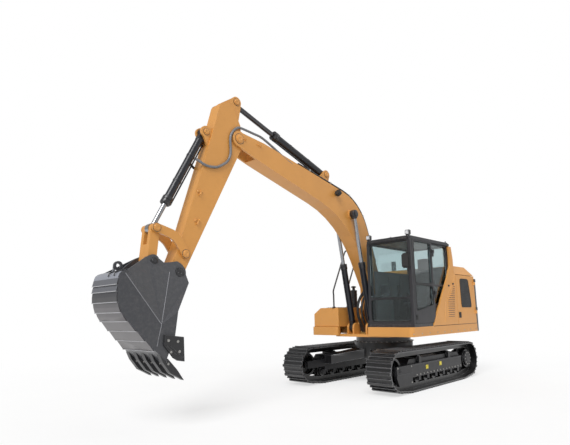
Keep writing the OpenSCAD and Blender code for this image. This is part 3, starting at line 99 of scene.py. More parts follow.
# Materials: ends of a mask, scales of the paint's patterns, and values that all paints share
NONE, FULL = (0, 0, 0, 1), (1, 1, 1, 1)
CLOUDS, GRIME, DUST, CHIPS, GLOSS, PEEL = 1.7, 9.0, 5.0, 24.0, 6.0, 160.0
GRIME_SHADE, REFLECTION_SHARE, COAT_ROUGH = 0.45, 0.8, 0.2
CHIP_COLOUR = (0.32, 0.30, 0.28, 1)
EDGE_SAMPLES, EDGE_TURNED, EDGE_FLAT = 6, 0.78, 0.985
BUMP_DEPTH, WEAVE_DEPTH = 0.002, 0.003
GLASS_IOR = 1.45


def node_tree(name):
    """New material, with its tree, its surface node and the object's coordinates."""
    mat = bpy.data.materials.new(name)
    mat.use_nodes = True
    tree = mat.node_tree
    where = add(tree, "TexCoord").outputs["Object"]
    return mat, tree, tree.nodes["Principled BSDF"], where


def feed(tree, socket, value):
    """Link an output to a socket, or set the socket's own value."""
    if isinstance(value, bpy.types.NodeSocket):
        tree.links.new(value, socket)
    else:
        socket.default_value = value


def fill(tree, n, **values):
    """Feed a node's sockets, written with _ for a space, or set its properties."""
    for key, value in values.items():
        socket = key.replace("_", " ")
        if socket in n.inputs:
            feed(tree, n.inputs[socket], value)
        else:
            setattr(n, key, value)
    return n


def add(tree, kind, **values):
    return fill(tree, tree.nodes.new("ShaderNode" + kind), **values)


def mixed(tree, factor, a, b):
    m = add(tree, "Mix", data_type="RGBA", Factor=factor)
    feed(tree, m.inputs[6], a)
    feed(tree, m.inputs[7], b)
    return m.outputs[2]


def maths(tree, operation, *values):
    m = add(tree, "Math", operation=operation)
    for socket, value in zip(m.inputs, values):
        feed(tree, socket, value)
    return m.outputs[0]


def ramp(tree, source, low, high, a=NONE, b=FULL):
    r = add(tree, "ValToRGB", Fac=source)
    first, last = r.color_ramp.elements
    first.position, first.color = low, a
    last.position, last.color = high, b
    return r.outputs["Color"]


def noise(tree, where, scale, detail=4.0, rough=0.55):
    return add(tree, "TexNoise", Vector=where, Scale=scale, Detail=detail,
               Roughness=rough).outputs["Fac"]


def up_part(tree, vector):
    return add(tree, "SeparateXYZ", Vector=vector).outputs["Z"]


def woven(tree, where, directions, scale, distortion):
    """Height of two crossed sets of threads."""
    bands = []
    for direction in directions:
        wave = add(tree, "TexWave", Vector=where, Scale=scale, Distortion=distortion,
                   bands_direction=direction)
        bands.append(wave.outputs["Fac"])
    return maths(tree, "MULTIPLY", *bands)


def rgb(c):
    """Linear colour with its alpha, from three values or six hexadecimal digits."""
    if isinstance(c, str):
        parts = [int(c[i:i + 2], 16) / 255 for i in (0, 2, 4)]
        c = [v / 12.92 if v <= 0.04045 else ((v + 0.055) / 1.055) ** 2.4 for v in parts]
    return (*c, 1.0)


def tone(colour, share):
    return rgb([share * v for v in rgb(colour)[:3]])


def level(value):
    return (value, value, value, 1.0)


def bump(tree, bsdf, height, strength, distance):
    b = add(tree, "Bump", Strength=strength, Distance=distance, Height=height)
    fill(tree, bsdf, Normal=b.outputs["Normal"])


def edge_mask(tree, size):
    """1 along the edges of plates and 0 on their flats."""
    soft = add(tree, "Bevel", Radius=size, samples=EDGE_SAMPLES)
    flat = add(tree, "NewGeometry")
    turn = add(tree, "VectorMath", operation="DOT_PRODUCT")
    tree.links.new(soft.outputs["Normal"], turn.inputs[0])
    tree.links.new(flat.outputs["True Normal"], turn.inputs[1])
    return ramp(tree, turn.outputs["Value"], EDGE_TURNED, EDGE_FLAT, FULL, NONE)


def painted_reflection(tree, rows):
    """Painted reflection: colour by the way a surface faces up or down, in rows of height share (0
    down, 1 up) and colour.
    """
    normal = add(tree, "NewGeometry").outputs["Normal"]
    share = maths(tree, "MULTIPLY_ADD", up_part(tree, normal), 0.5, 0.5)
    scale = add(tree, "ValToRGB", Fac=share)
    points = scale.color_ramp.elements
    while len(points) < len(rows):
        points.new(0.5)
    for point, (place, colour) in zip(points, rows):
        point.position, point.color = place, rgb(colour)
    return scale.outputs["Color"]


def paint(name, colour, rough=0.38, shade=0.9, dust=(0.35, 0.31, 0.26), dust_low=0.0, wear=0.0,
          coat=0.25, grime=0.12, edge=0.0, edge_wear_and_highlight_tone=(0.2, 0.2, 0.21), edge_w=0.008,
          reflection_rows=None):
    """Sprayed enamel: cloudy tone, fine orange peel, dust towards the ground, paler edges that are
    partly wear and partly a painted highlight.

    The facing rows paint a reflection: each face lighter or darker by the way it turns up or down.
    """
    mat, tree, bsdf, where = node_tree(name)
    cloud = ramp(tree, noise(tree, where, CLOUDS, 5.0), 0.3, 0.75)
    base = mixed(tree, cloud, tone(colour, shade), rgb(colour))
    dirt = ramp(tree, noise(tree, where, GRIME, 8.0, 0.65), 0.55, 0.85)
    base = mixed(tree, maths(tree, "MULTIPLY", dirt, grime), base, tone(colour, GRIME_SHADE))
    if dust_low > 0:
        low = add(tree, "MapRange", Value=up_part(tree, where), From_Min=dust_low, From_Max=0.0)
        patch = ramp(tree, noise(tree, where, DUST, 6.0, 0.7), 0.35, 0.75)
        base = mixed(tree, maths(tree, "MULTIPLY", low.outputs[0], patch), base, rgb(dust))
    if wear > 0:
        geometry = add(tree, "NewGeometry")
        ridge = ramp(tree, geometry.outputs["Pointiness"], 0.53, 0.62)
        scratch = ramp(tree, noise(tree, where, CHIPS, 6.0, 0.7), 0.45, 0.7)
        chip = maths(tree, "MULTIPLY", ridge, scratch)
        base = mixed(tree, maths(tree, "MULTIPLY", chip, wear), base, CHIP_COLOUR)
    # Painted reflection: the colour changes with the way each face turns up or down
    if reflection_rows:
        base = mixed(tree, REFLECTION_SHARE, base, painted_reflection(tree, reflection_rows))
    # Paler edges: partly wear, partly a painted highlight on every edge
    if edge > 0:
        bare = maths(tree, "MULTIPLY", edge_mask(tree, edge_w), edge)
        base = mixed(tree, bare, base, rgb(edge_wear_and_highlight_tone))
    gloss = ramp(tree, noise(tree, where, GLOSS), 0.2, 0.9, level(rough * 0.85), level(rough * 1.2))
    fill(tree, bsdf, Base_Color=base, Roughness=gloss, Coat_Weight=coat, Coat_Roughness=COAT_ROUGH)
    bump(tree, bsdf, noise(tree, where, PEEL, 2.0), 0.06, BUMP_DEPTH)
    return mat


def metal(name, colour, rough, scale=30.0, shade=0.7, metallic=0.9):
    """Bare steel with a cloudy tone and duller patches."""
    mat, tree, bsdf, where = node_tree(name)
    cloud = ramp(tree, noise(tree, where, scale, 6.0, 0.6), 0.3, 0.75)
    base = mixed(tree, cloud, tone(colour, shade), rgb(colour))
    dull = noise(tree, where, 9.0, 5.0)
    gloss = ramp(tree, dull, 0.25, 0.8, level(rough * 0.8), level(rough * 1.25))
    fill(tree, bsdf, Base_Color=base, Roughness=gloss, Metallic=metallic)
    bump(tree, bsdf, noise(tree, where, scale * 3, 3.0), 0.05, BUMP_DEPTH)
    return mat


def rubber(name, colour, rough=0.55):
    """Braided hose cover: a fine criss-cross of two wave bands."""
    mat, tree, bsdf, where = node_tree(name)
    cloud = ramp(tree, noise(tree, where, 14.0, 5.0), 0.3, 0.8)
    base = mixed(tree, cloud, tone(colour, 0.7), rgb(colour))
    fill(tree, bsdf, Base_Color=base, Roughness=rough)
    bump(tree, bsdf, woven(tree, where, ("DIAGONAL", "X"), 70.0, 0.5), 0.25, BUMP_DEPTH)
    return mat


def cloth(name, colour):
    """Woven seat cover: warp and weft bands with a soft sheen."""
    mat, tree, bsdf, where = node_tree(name)
    weave = woven(tree, where, ("Y", "Z"), 55.0, 0.6)
    shade = mixed(tree, noise(tree, where, 6.0), tone(colour, 0.75), rgb(colour))
    base = mixed(tree, weave, shade, tone(colour, 1.7))
    fill(tree, bsdf, Base_Color=base, Roughness=0.9, Sheen_Weight=0.3)
    bump(tree, bsdf, weave, 0.4, WEAVE_DEPTH)
    return mat


def pane(name, tint, weight=1.0):
    """Tinted glazing with faint smears."""
    mat, tree, bsdf, where = node_tree(name)
    smear = ramp(tree, noise(tree, where, 3.0, 5.0), 0.35, 0.8, level(0.01), level(0.05))
    fill(tree, bsdf, Base_Color=rgb(tint), Roughness=smear, Transmission_Weight=weight,
         IOR=GLASS_IOR)
    return mat


# Edge tones below give paler edges: partly wear, partly a painted highlight
yellow = paint(
    "ochre_enamel", "D19348", rough=0.42, wear=0.25, coat=0.12, edge=0.4, edge_wear_and_highlight_tone="E6B06C",
    edge_w=0.010)
black_steel = paint(
    "track_black", (0.008, 0.008, 0.009), rough=0.34, shade=0.8, dust=(0.024, 0.023, 0.023),
    dust_low=0.4, coat=0.3, grime=0.04, edge=0.85, edge_wear_and_highlight_tone=(0.26, 0.26, 0.27), edge_w=0.012)
grey = paint("cab_grey", "28282C", rough=0.42, wear=0.15, coat=0.04, edge=0.35,
             edge_wear_and_highlight_tone=(0.13, 0.13, 0.14))
casting = paint("counterweight_grey", "47484B", rough=0.5, wear=0.3)
black = paint("black_satin", (0.016, 0.016, 0.019), rough=0.35, wear=0.2)
navy = paint("barrel_black", (0.008, 0.009, 0.014), rough=0.34, wear=0.1, coat=0.06)
plastic = paint("black_plastic", (0.018, 0.018, 0.018), rough=0.55, coat=0.0)
bucket_grey = paint(
    "bucket_grey", "3C3D41", rough=0.36, shade=0.97, wear=0.08, coat=0.18, grime=0.03, edge=0.35,
    edge_wear_and_highlight_tone=(0.16, 0.16, 0.17), edge_w=0.007)
# Pale grey of the sheet on the bucket's back: a painted reflection
painted_sheen_grey = paint("bucket_top_painted_sheen", "8B8E97", rough=0.3, shade=0.85, coat=0.25, grime=0.1)
# Wear straps: grey with a painted reflection, pale bluish on upward faces, darkest on level faces,
# mid grey on downward faces
strap_grey = paint(
    "strap_grey", "454346", rough=0.33, shade=0.9, wear=0.3, coat=0.2,
    reflection_rows=((0.2, "5A5658"), (0.36, "4C494C"), (0.47, "2A2A2D"), (0.53, "26262A"), (0.8, "9A9EA8")))
web_grey = paint("track_frame_grey", (0.012, 0.012, 0.014), rough=0.42, wear=0.1, coat=0.0,
                 edge=0.5, edge_wear_and_highlight_tone=(0.12, 0.12, 0.13))
tooth_steel = paint(
    "tooth_steel", (0.020, 0.020, 0.022), rough=0.38, shade=0.8, coat=0.1, grime=0.04, edge=0.6,
    edge_wear_and_highlight_tone=(0.16, 0.16, 0.17), edge_w=0.007)
chrome = metal("rod_chrome", (0.36, 0.37, 0.39), 0.24, scale=1.5, shade=0.9)
# Darker copy of the rod chrome for the stick rod: painted shade
shaded_chrome = metal("shaded_rod_chrome", (0.085, 0.085, 0.09), 0.24, scale=1.5, shade=0.9)
# Pale steel for the bars that paint highlights on the strap edges
strap_highlight = metal("strap_highlight_steel", (0.52, 0.52, 0.54), 0.42, scale=60.0, metallic=0.4)
zinc = metal("zinc_bolts", (0.48, 0.47, 0.45), 0.35)
weld = metal("weld_bead", (0.30, 0.30, 0.32), 0.5, scale=90.0, metallic=0.5)
brass = metal("brass_fittings", (0.55, 0.40, 0.16), 0.35)
alloy = metal("engine_alloy", (0.25, 0.25, 0.26), 0.5)
glass = pane("cab_glass", (0.60, 0.70, 0.71))
lens = pane("lamp_lens", (0.93, 0.94, 0.97), 0.35)
screen = paint("monitor_screen", (0.012, 0.016, 0.022), rough=0.12, coat=0.6)
hose_black = rubber("hose_black", (0.016, 0.016, 0.017))
hose_grey = rubber("hose_grey", (0.20, 0.20, 0.21), 0.45)
seal = rubber("window_seal", (0.012, 0.012, 0.013), 0.6)
# Grey for the panels inside the cab that darken the view through its windows
inner_panel_grey = paint("cab_inner_panel_grey", (0.15, 0.16, 0.16), rough=0.7, shade=0.85, coat=0.0, grime=0.2)
fabric = cloth("seat_fabric", (0.028, 0.029, 0.033))
signal = paint("tie_down_yellow", "D8C94A", rough=0.5, coat=0.0)

LOOK = {
    "yellow_paint": yellow, "track_steel": black_steel, "grey_casting": casting,
    "bare_steel": bucket_grey, "grey_paint": grey, "glass": glass, "black_paint": black,
    "chrome_rod": chrome, "seat_fabric": fabric, "black_plastic": plastic, "engine_alloy": alloy,
}
OWN_LOOK = {
    "bucket_teeth": tooth_steel, "side_cutters": tooth_steel, "wear_straps": strap_grey,
    "stick_rod": shaded_chrome, "boom_barrels": navy, "stick_barrel": navy, "bucket_barrel": navy,
    "track_frame_left": web_grey, "track_frame_right": web_grey,
}
for sub in frame["record"]["subparts"]:
    mesh = nodes[sub["node"]].data
    mesh.materials.clear()
    mesh.materials.append(OWN_LOOK.get(sub["node"], LOOK[sub["material_slot"]]))

# Softened plate edges on the solids: rows of bevel width in metres and the nodes that take it
EDGES = (
    (0.012, ("engine_hood", "counterweight", "fuel_tank", "tool_box", "cab_roof", "mirrors")),
    (0.007, ("boom", "stick", "deck_left", "deck_right", "cab_front_frame", "cab_door",
             "left_door", "right_door", "left_side_panel", "right_side_panel", "idler_links",
             "power_link", "track_frame_left", "track_frame_right", "consoles", "carbody")),
    (0.004, ("wear_straps", "bucket_teeth", "side_cutters", "revolving_frame",
             "cab_left_quarter", "cab_right_wall", "cab_rear_wall")),
)
WELD_GAP = 0.0002
EDGE_ANGLE = radians(28)
for width, names in EDGES:
    for name in names:
        joined = nodes[name].modifiers.new("joined", "WELD")
        joined.merge_threshold = WELD_GAP
        soft = nodes[name].modifiers.new("soft_edges", "BEVEL")
        soft.width = width
        soft.segments = 2
        soft.limit_method = "ANGLE"
        soft.angle_limit = EDGE_ANGLE
        soft.harden_normals = True


# Mesh tools: places are in machine millimetres, x ahead of the swing axis
UP, LEFT, AHEAD = Vector((0, 0, 1)), Vector((0, 1, 0)), Vector((1, 0, 0))
SMOOTH_ANGLE, CUSHION_ANGLE = 35, 80


def at(x, y, z):
    return Vector((x / 1000 - SWING_BACK, y / 1000, z / 1000))


def piece(name, bm, mat, body="house", smooth=SMOOTH_ANGLE):
    bmesh.ops.recalc_face_normals(bm, faces=bm.faces)
    mesh = bpy.data.meshes.new(name)
    bm.to_mesh(mesh)
    bm.free()
    mesh.materials.append(mat)
    mesh.polygons.foreach_set("use_smooth", [True] * len(mesh.polygons))
    obj = linked(name, mesh)
    mesh.set_sharp_from_angle(angle=radians(smooth))
    if body:
        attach(obj, body)
    return obj


def rings(bm, loops, capped=True, closed=False):
    """Skin over rows of points, with ends or joined to its own start."""
    rows = [[bm.verts.new(p) for p in loop] for loop in loops]
    for a, b in zip(rows, rows[1:] + rows[:1] if closed else rows[1:]):
        for face in zip(a, a[1:] + a[:1], b[1:] + b[:1], b):
            bm.faces.new(face)
    if capped and not closed:
        bm.faces.new(rows[0])
        bm.faces.new(rows[-1])


def circle(middle, u, v, r, sides):
    angles = (2 * pi * i / sides for i in range(sides))
    return [middle + (u * cos(a) + v * sin(a)) * (r / 1000) for a in angles]


def lathe(bm, centre, axis, rows, sides=24, capped=True):
    """Turned form: rows of radius and height along the axis, in millimetres."""
    axis = axis.normalized()
    u = axis.orthogonal().normalized()
    v = axis.cross(u)
    rings(bm, [circle(centre + axis * (h / 1000), u, v, r, sides) for r, h in rows], capped)


def bolt(bm, centre, axis, r):
    """Hexagon head on a washer."""
    lathe(bm, centre, axis, ((1.5 * r, 0), (1.5 * r, 0.2 * r), (1.4 * r, 0.28 * r)), 16)
    lathe(bm, centre, axis, ((r, 0.2 * r), (r, 0.85 * r), (0.85 * r, r)), 6)


def block(bm, low, high, edge):
    """Box between two corners, with rounded edges."""
    lo, hi = Vector(map(min, low, high)), Vector(map(max, low, high))
    place = Matrix.Translation((lo + hi) / 2) @ Matrix.Diagonal((*(hi - lo), 1.0))
    made = bmesh.ops.create_cube(bm, size=1.0, matrix=place)
    edges = dict.fromkeys(e for v in made["verts"] for e in v.link_edges)
    bmesh.ops.bevel(bm, geom=list(edges), offset=edge / 1000, segments=2, affect="EDGES",
                    clamp_overlap=True)


def smooth_path(points, steps=6):
    """Catmull-Rom curve through the points."""
    p = [2 * points[0] - points[1], *points, 2 * points[-1] - points[-2]]
    out = []
    for a, b, c, d in zip(p, p[1:], p[2:], p[3:]):
        for k in range(steps):
            t = k / steps
            out.append(0.5 * (2 * b + (c - a) * t + (2 * a - 5 * b + 4 * c - d) * t * t
                              + (3 * b - a - 3 * c + d) * t ** 3))
    out.append(points[-1])
    return out


def tube(bm, path, r, sides=8, closed=False):
    """Round bar along a path, its rings turned as little as can be from one to the next."""
    ends = [path[-1], *path, path[0]] if closed else [path[0], *path, path[-1]]
    ahead = [(b - a).normalized() for a, b in zip(ends, ends[2:])]
    u = ahead[0].orthogonal().normalized()
    loops = []
    for p, d in zip(path, ahead):
        u = (u - d * u.dot(d)).normalized()
        loops.append(circle(p, u, d.cross(u), r, sides))
    rings(bm, loops, closed=closed)


def on_surface(node, outside, inside):
    """First point of a CAD solid's surface on the way from one place to another."""
    back = nodes[node].matrix_world.inverted()
    a, b = back @ outside, back @ inside
    hit, where, _, _ = nodes[node].ray_cast(a, (b - a).normalized())
    return nodes[node].matrix_world @ where if hit else outside.lerp(inside, 0.5)


# Arm: pins of boom, stick and bucket, and how far each member is turned
FOOT, NOSE, TIP = Vector((20, 1620)), Vector((3872.55, 4169.95)), Vector((4934.77, 1967.74))
BOOM_TURN, STICK_TURN, BUCKET_TURN = (radians(a) for a in (33.5, -64.25, -88.1))
ARM_Y = -140
BOOM_LEN = 4620
REACH = 1377


def on(origin, turn, s, t, y):
    """Place on an arm member: s along and t across it, y left of the arm's middle plane."""
    c, k = cos(turn), sin(turn)
    return at(origin.x + s * c - t * k, ARM_Y + y, origin.y + s * k + t * c)


def on_boom(s, t, y):
    return on(FOOT, BOOM_TURN, s, t, y)


def on_stick(s, t, y):
    return on(NOSE, STICK_TURN, s, t, y)


def on_bucket(u, v, y):
    return on(TIP, BUCKET_TURN, u * REACH, v * REACH, y)


# Cylinder and linkage pins, each in the axes of the member that carries it
BOOM_ROD_PIN, STICK_BARREL_PIN = (1760.2, 905.5), (2699.9, 1139.8)
STICK_ROD_PIN, BUCKET_BARREL_PIN = (-577.0, 291.0), (280.0, 519.1)
IDLER_PIN, BUCKET_ROD_PIN = (2147.9, 7.1), (2058.1, 552.7)
LINK_PIN = (-0.09, 0.27)
BARREL_Y = 232


def boom_barrel_eye(y):
    return at(530, ARM_Y + y, 1080)


# Pin heads with a keeper bolt: body, middle, half width, head radius and look; the turned rows
# below hold shares of that radius
PIN_HEADS = (
    ("house", on_boom(0, 0, 0), 249, 52, yellow),
    ("boom", on_stick(0, 0, 0), 156, 62, yellow),
    ("boom", on_boom(*BOOM_ROD_PIN, 0), 279, 56, black),
    ("boom", on_boom(*STICK_BARREL_PIN, 0), 88, 44, yellow),
    ("stick", on_stick(*STICK_ROD_PIN, 0), 88, 44, yellow),
    ("stick", on_stick(*BUCKET_BARREL_PIN, 0), 88, 40, yellow),
    ("stick", on_stick(*IDLER_PIN, 0), 156, 44, yellow),
    ("bucket", on_bucket(0, 0, 0), 203, 52, tooth_steel),
    ("bucket", on_bucket(*LINK_PIN, 0), 180, 40, tooth_steel),
    ("idler_links", on_stick(*BUCKET_ROD_PIN, 0), 156, 42, yellow),
)
# Black rings under the heads: painted shadow gaps round the pins
SHADE_RING_ROWS = ((1.42, -1), (1.42, 2.5), (1.36, 3.5))
HEAD_ROWS = ((1.3, 0), (1.3, 5), (1.22, 8), (1, 8), (1, 18), (0.88, 22), (0.4, 22), (0.36, 19))
KEEPER_SHARE, KEEPER_OUT, KEEPER_R = 0.68, 0.021, 6
for i, (body, middle, half, r, look) in enumerate(PIN_HEADS):
    heads, shade_rings = bmesh.new(), bmesh.new()
    for s in (-1, 1):
        face = middle + LEFT * (s * half / 1000)
        lathe(shade_rings, face, LEFT * s, [(k * r, h) for k, h in SHADE_RING_ROWS], 32)
        lathe(heads, face, LEFT * s, [(k * r, h) for k, h in HEAD_ROWS])
        keeper = face + AHEAD * (KEEPER_SHARE * r / 1000) + LEFT * (s * KEEPER_OUT)
        bolt(heads, keeper, LEFT * s, KEEPER_R)
    piece(f"pin_heads_{i}_{body}", heads, look, body)
    piece(f"pin_shade_rings_{i}_{body}", shade_rings, black, body)

# Weld beads along the plate folds of the bucket's cheeks
FOLD = (0.5, 0.249)
FOLD_ENDS = ((0.06, 0.602), (0.002, 0.110), (0.69, 0.279))
BEAD_STEPS, BEAD_R = 24, 5
CHEEK_PROBE = (700, 60)
bm = bmesh.new()
for s in (-1, 1):
    for end in FOLD_ENDS:
        row = []
        for k in range(BEAD_STEPS + 1):
            u, v = (a + (b - a) * k / BEAD_STEPS for a, b in zip(FOLD, end))
            row.append(on_surface("bucket", *(on_bucket(u, v, s * y) for y in CHEEK_PROBE)))
        tube(bm, row, BEAD_R)
piece("bucket_weld_beads", bm, weld, "bucket")

# Two stepped ribs on the bucket's back: rows of place and share of the step
RIB_Y, RIB_STEP, RIB_R = (150, 300), 70, 8
BACK_RIB = ((0.020, 0.566, 0), (0.036, 0.614, 0), (0.041, 0.630, 1), (0.060, 0.659, 1),
            (0.085, 0.662, 1))
bm = bmesh.new()
for y in RIB_Y:
    tube(bm, [on_bucket(u, v, y - RIB_STEP * k) for u, v, k in BACK_RIB], RIB_R)
piece("bucket_back_ribs", bm, black, "bucket")

# Paler sheet laid over the top of the bucket's back, just off the shell's own face: a painted
# reflection on the upward face
TOP_ROWS = ((0.100, 0.664), (0.085, 0.662), (0.070, 0.660), (0.060, 0.657), (0.048, 0.645),
            (0.041, 0.630), (0.036, 0.614), (0.028, 0.590), (0.022, 0.572))
TOP_SPANS, TOP_SPAN = 10, 33.5
TOP_PROBE, TOP_LIFT = 0.15, 0.003
bm = bmesh.new()
loops = []
for u, v in TOP_ROWS:
    out = (on_bucket(u - 0.1, v + 0.1, 0) - on_bucket(u, v, 0)).normalized()
    row = []
    for k in range(-TOP_SPANS, TOP_SPANS + 1):
        place = on_bucket(u, v, k * TOP_SPAN)
        skin = on_surface("bucket", place + out * TOP_PROBE, place - out * TOP_PROBE)
        row.append(bm.verts.new(skin + out * TOP_LIFT))
    loops.append(row)
for a, b in zip(loops, loops[1:]):
    for k in range(len(a) - 1):
        bm.faces.new((a[k], a[k + 1], b[k + 1], b[k]))
piece("bucket_top_sheen_sheet", bm, painted_sheen_grey, "bucket")

# Painted highlights along the edges of the wear straps, as pale steel bars: rows of x, z and half
# width, in millimetres
STRAP_LIPS = ((3619.7, 971.7, 400), (3735.8, 1095.7, 386), (3852.0, 1219.7, 372),
              (3964.1, 1339.4, 359), (4039.6, 1445.3, 350), (4085.1, 1567.2, 344),
              (4097.6, 1695.5, 342), (4094.9, 1776.5, 342))
LIP_SPANS, LIP_R = 6, 5.5
bm = bmesh.new()
for x, z, half in STRAP_LIPS:
    shares = [k / LIP_SPANS for k in range(-LIP_SPANS, LIP_SPANS + 1)]
    tube(bm, [Vector((x, ARM_Y + k * half, z)) / 1000 for k in shares], LIP_R)
piece("strap_highlight_bars", bm, strap_highlight, "bucket")

# Bolts and ribs of the side cutters, and the lock pins of the teeth
BUCKET_W, TOOTH_W, TEETH = 870, 78, 5
CHEEK_TAPER, CHEEK_FROM, CHEEK_SPAN = 90, 0.1, 0.556
CUTTER_BOLTS = ((0.64, 0.19), (0.65, 0.10), (0.74, 0.16), (0.74, 0.08))
CUTTER_RIBS = (((0.69, 0.205), (0.80, 0.06)), ((0.69, 0.17), (0.80, 0.045)))
BOLT_OUT, RIB_OUT = 36, 35
CUTTER_BOLT_R, CUTTER_RIB_R = 12, 8
LOCK_AT = (0.845, 0.17)
LOCK_ROWS = ((15, 0), (15, 3), (11, 5), (6, 5), (5, 2))


def cheek(v):
    """Half width of the bucket, which tapers along v."""
    return BUCKET_W / 2 - CHEEK_TAPER * (v - CHEEK_FROM) / CHEEK_SPAN


bolts, ribs = bmesh.new(), bmesh.new()
for s in (-1, 1):
    for u, v in CUTTER_BOLTS:
        bolt(bolts, on_bucket(u, v, s * (cheek(v) + BOLT_OUT)), LEFT * s, CUTTER_BOLT_R)
    for ends in CUTTER_RIBS:
        tube(ribs, [on_bucket(u, v, s * (cheek(v) + RIB_OUT)) for u, v in ends], CUTTER_RIB_R)
for k in range(TEETH):
    y = (k - (TEETH - 1) / 2) * (BUCKET_W - TOOTH_W) / (TEETH - 1)
    for s in (-1, 1):
        lathe(bolts, on_bucket(*LOCK_AT, y + s * TOOTH_W / 2), LEFT * s, LOCK_ROWS, 16)
piece("cutter_bolts", bolts, zinc, "bucket")
piece("cutter_ribs", ribs, tooth_steel, "bucket")


# Hoses over the boom's nose: shares of its length past the nose and above its axis, then x, z, y
ON_BOOM = ((-0.236, 0.119), (-0.19, 0.109), (-0.13, 0.100), (-0.070, 0.0871), (-0.0352, 0.0695),
           (0.0132, 0.0424), (0.0268, 0.0300), (0.0336, 0.0037), (0.0280, -0.0255))
DOWN_STICK = ((4036, 3935, 136), (4055, 3826, 136), (4100, 3745, 136), (4167, 3686, 136),
              (4288, 3612, 136), (4425, 3588, 136), (4520, 3600, 130), (4600, 3640, 112),
              (4650, 3668, 92))
HOSE_R = 20
for label, s, mat in (("left", 1, hose_grey), ("right", -1, hose_black)):
    bm = bmesh.new()
    path = [on_boom(BOOM_LEN * (1 + a), BOOM_LEN * b, s * 136) for a, b in ON_BOOM]
    path += [at(x, ARM_Y + s * y, z) for x, z, y in DOWN_STICK]
    tube(bm, smooth_path(path), HOSE_R, sides=12)
    hose = piece(f"stick_hose_{label}", bm, mat, None)
    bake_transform(hose)

# Bundle of hoses at the boom's foot, each bowed a little differently
HOSE_AT_FOOT = ((430, 965), (470, 1110), (555, 1270), (590, 1440), (540, 1610), (420, 1745),
                (302, 1826))
FOOT_HOSES, FOOT_PITCH, FOOT_HOSE_R, FOOT_BOW = 6, 40, 15, 18
FITTING_ROWS = ((24, -6), (24, 16), (20, 18), (20, 44), (17, 48))
bm, fittings = bmesh.new(), bmesh.new()
for k in range(FOOT_HOSES):
    y = ARM_Y + (k - (FOOT_HOSES - 1) / 2) * FOOT_PITCH
    bow = FOOT_BOW * ((k * 2) % 5 - 2)
    last = len(HOSE_AT_FOOT) - 1
    points = [at(x + bow * sin(pi * i / last), y, z) for i, (x, z) in enumerate(HOSE_AT_FOOT)]
    tube(bm, smooth_path(points), FOOT_HOSE_R, sides=12)
    lathe(fittings, points[0], UP, FITTING_ROWS, 12)
hoses = piece("boom_foot_hoses", bm, hose_black, None)
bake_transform(hoses)
piece("boom_foot_fittings", fittings, brass)

# Cylinder trim: a gland with its bolts, and a supply line on straps
GLAND_BOLTS, GLAND_BOLT_R, GLAND_BOLT_IN = 8, 6, 8
LINE_R, LINE_OUT = 11, 22
STRAP_SHARES = (0.35, 0.7)


def cylinder_trim(name, node, eye, far, r, rod_r, grow):
    """Dress of a barrel of radius r, as long as its solid reaches from its eye towards far."""
    axis = (far - eye).normalized()
    across = LEFT.cross(axis)
    solid = nodes[node]
    reach = max((solid.matrix_world @ v.co - eye).dot(axis) for v in solid.data.vertices)
    head = eye + axis * reach
    wide, mid = r + grow, r + 0.6 * grow
    bm = bmesh.new()
    gland = ((r + 1, -118), (wide - 3, -112), (wide, -80), (wide, -62), (mid, -58), (mid, -44),
             (wide, -40), (wide, -6), (wide - 4, 1), (rod_r + 4, 1))
    lathe(bm, head, axis, gland, 32, capped=False)
    for spot in circle(head, across, LEFT, r - GLAND_BOLT_IN, GLAND_BOLTS):
        bolt(bm, spot + axis * 0.001, axis, GLAND_BOLT_R)
    piece(f"{name}_gland", bm, black, node)
    bm = bmesh.new()
    skin, off = across * (r / 1000), across * ((r + LINE_OUT) / 1000)
    stops = ((0.20, skin), (0.21, off * 0.9), (0.25, off), (reach - 0.12, off),
             (reach - 0.07, off * 0.95), (reach - 0.05, skin))
    tube(bm, smooth_path([eye + axis * h + side for h, side in stops], 5), LINE_R, sides=10)
    strap = ((r + 0.6, -14), (r + 4, -13), (r + 4, 13), (r + 0.6, 14))
    for share in STRAP_SHARES:
        lathe(bm, eye + axis * (share * reach), axis, strap, 32, capped=False)
    piece(f"{name}_line", bm, navy, node)


for label, y in (("left", BARREL_Y), ("right", -BARREL_Y)):
    cylinder_trim(f"boom_barrel_{label}", "boom_barrels", boom_barrel_eye(y),
                  on_boom(*BOOM_ROD_PIN, y), r=62, rod_r=37, grow=10)
cylinder_trim("stick_barrel", "stick_barrel", on_boom(*STICK_BARREL_PIN, 0),
              on_stick(*STICK_ROD_PIN, 0), r=70, rod_r=42, grow=16)
cylinder_trim("bucket_barrel", "bucket_barrel", on_stick(*BUCKET_BARREL_PIN, 0),
              on_stick(*BUCKET_ROD_PIN, 0), r=58, rod_r=35, grow=17)

# Black eyes on the ends of the boom rods
EYE_ROWS = ((50, -46.4), (80, -46.4), (82, -43), (82, 43), (80, 46.4), (50, 46.4))
NECK_ROWS = ((58, 40), (58, 84), (52, 94), (44, 98))
bm = bmesh.new()
for y in (BARREL_Y, -BARREL_Y):
    eye = on_boom(*BOOM_ROD_PIN, y)
    lathe(bm, eye, LEFT, EYE_ROWS, 40)
    lathe(bm, eye, (boom_barrel_eye(y) - eye).normalized(), NECK_ROWS, 32)
piece("boom_rod_eyes", bm, black, "boom_rods")

# Pipes along the boom's top plate, on clamps
ABOVE_BOOM, BELOW_BOOM = 2600, -600
PIPE_Y, PIPE_R, PIPE_LIFT = (95, 132), 14, 0.034
PIPE_FROM, PIPE_SPAN, PIPE_STEPS = 0.12, 0.62, 30
CLAMP_EVERY, CLAMP_FIRST = 6, 3
CLAMP_ROWS = ((17, -16), (22, -14), (22, 14), (17, 16))
CLAMP_FOOT_R, CLAMP_BOLT_R = 13, 6


def boom_top(s, y):
    """Place on the boom's upper face, found from above in its own axes, and the way up there."""
    high, low = on_boom(s, ABOVE_BOOM, y), on_boom(s, BELOW_BOOM, y)
    return on_surface("boom", high, low), (high - low).normalized()


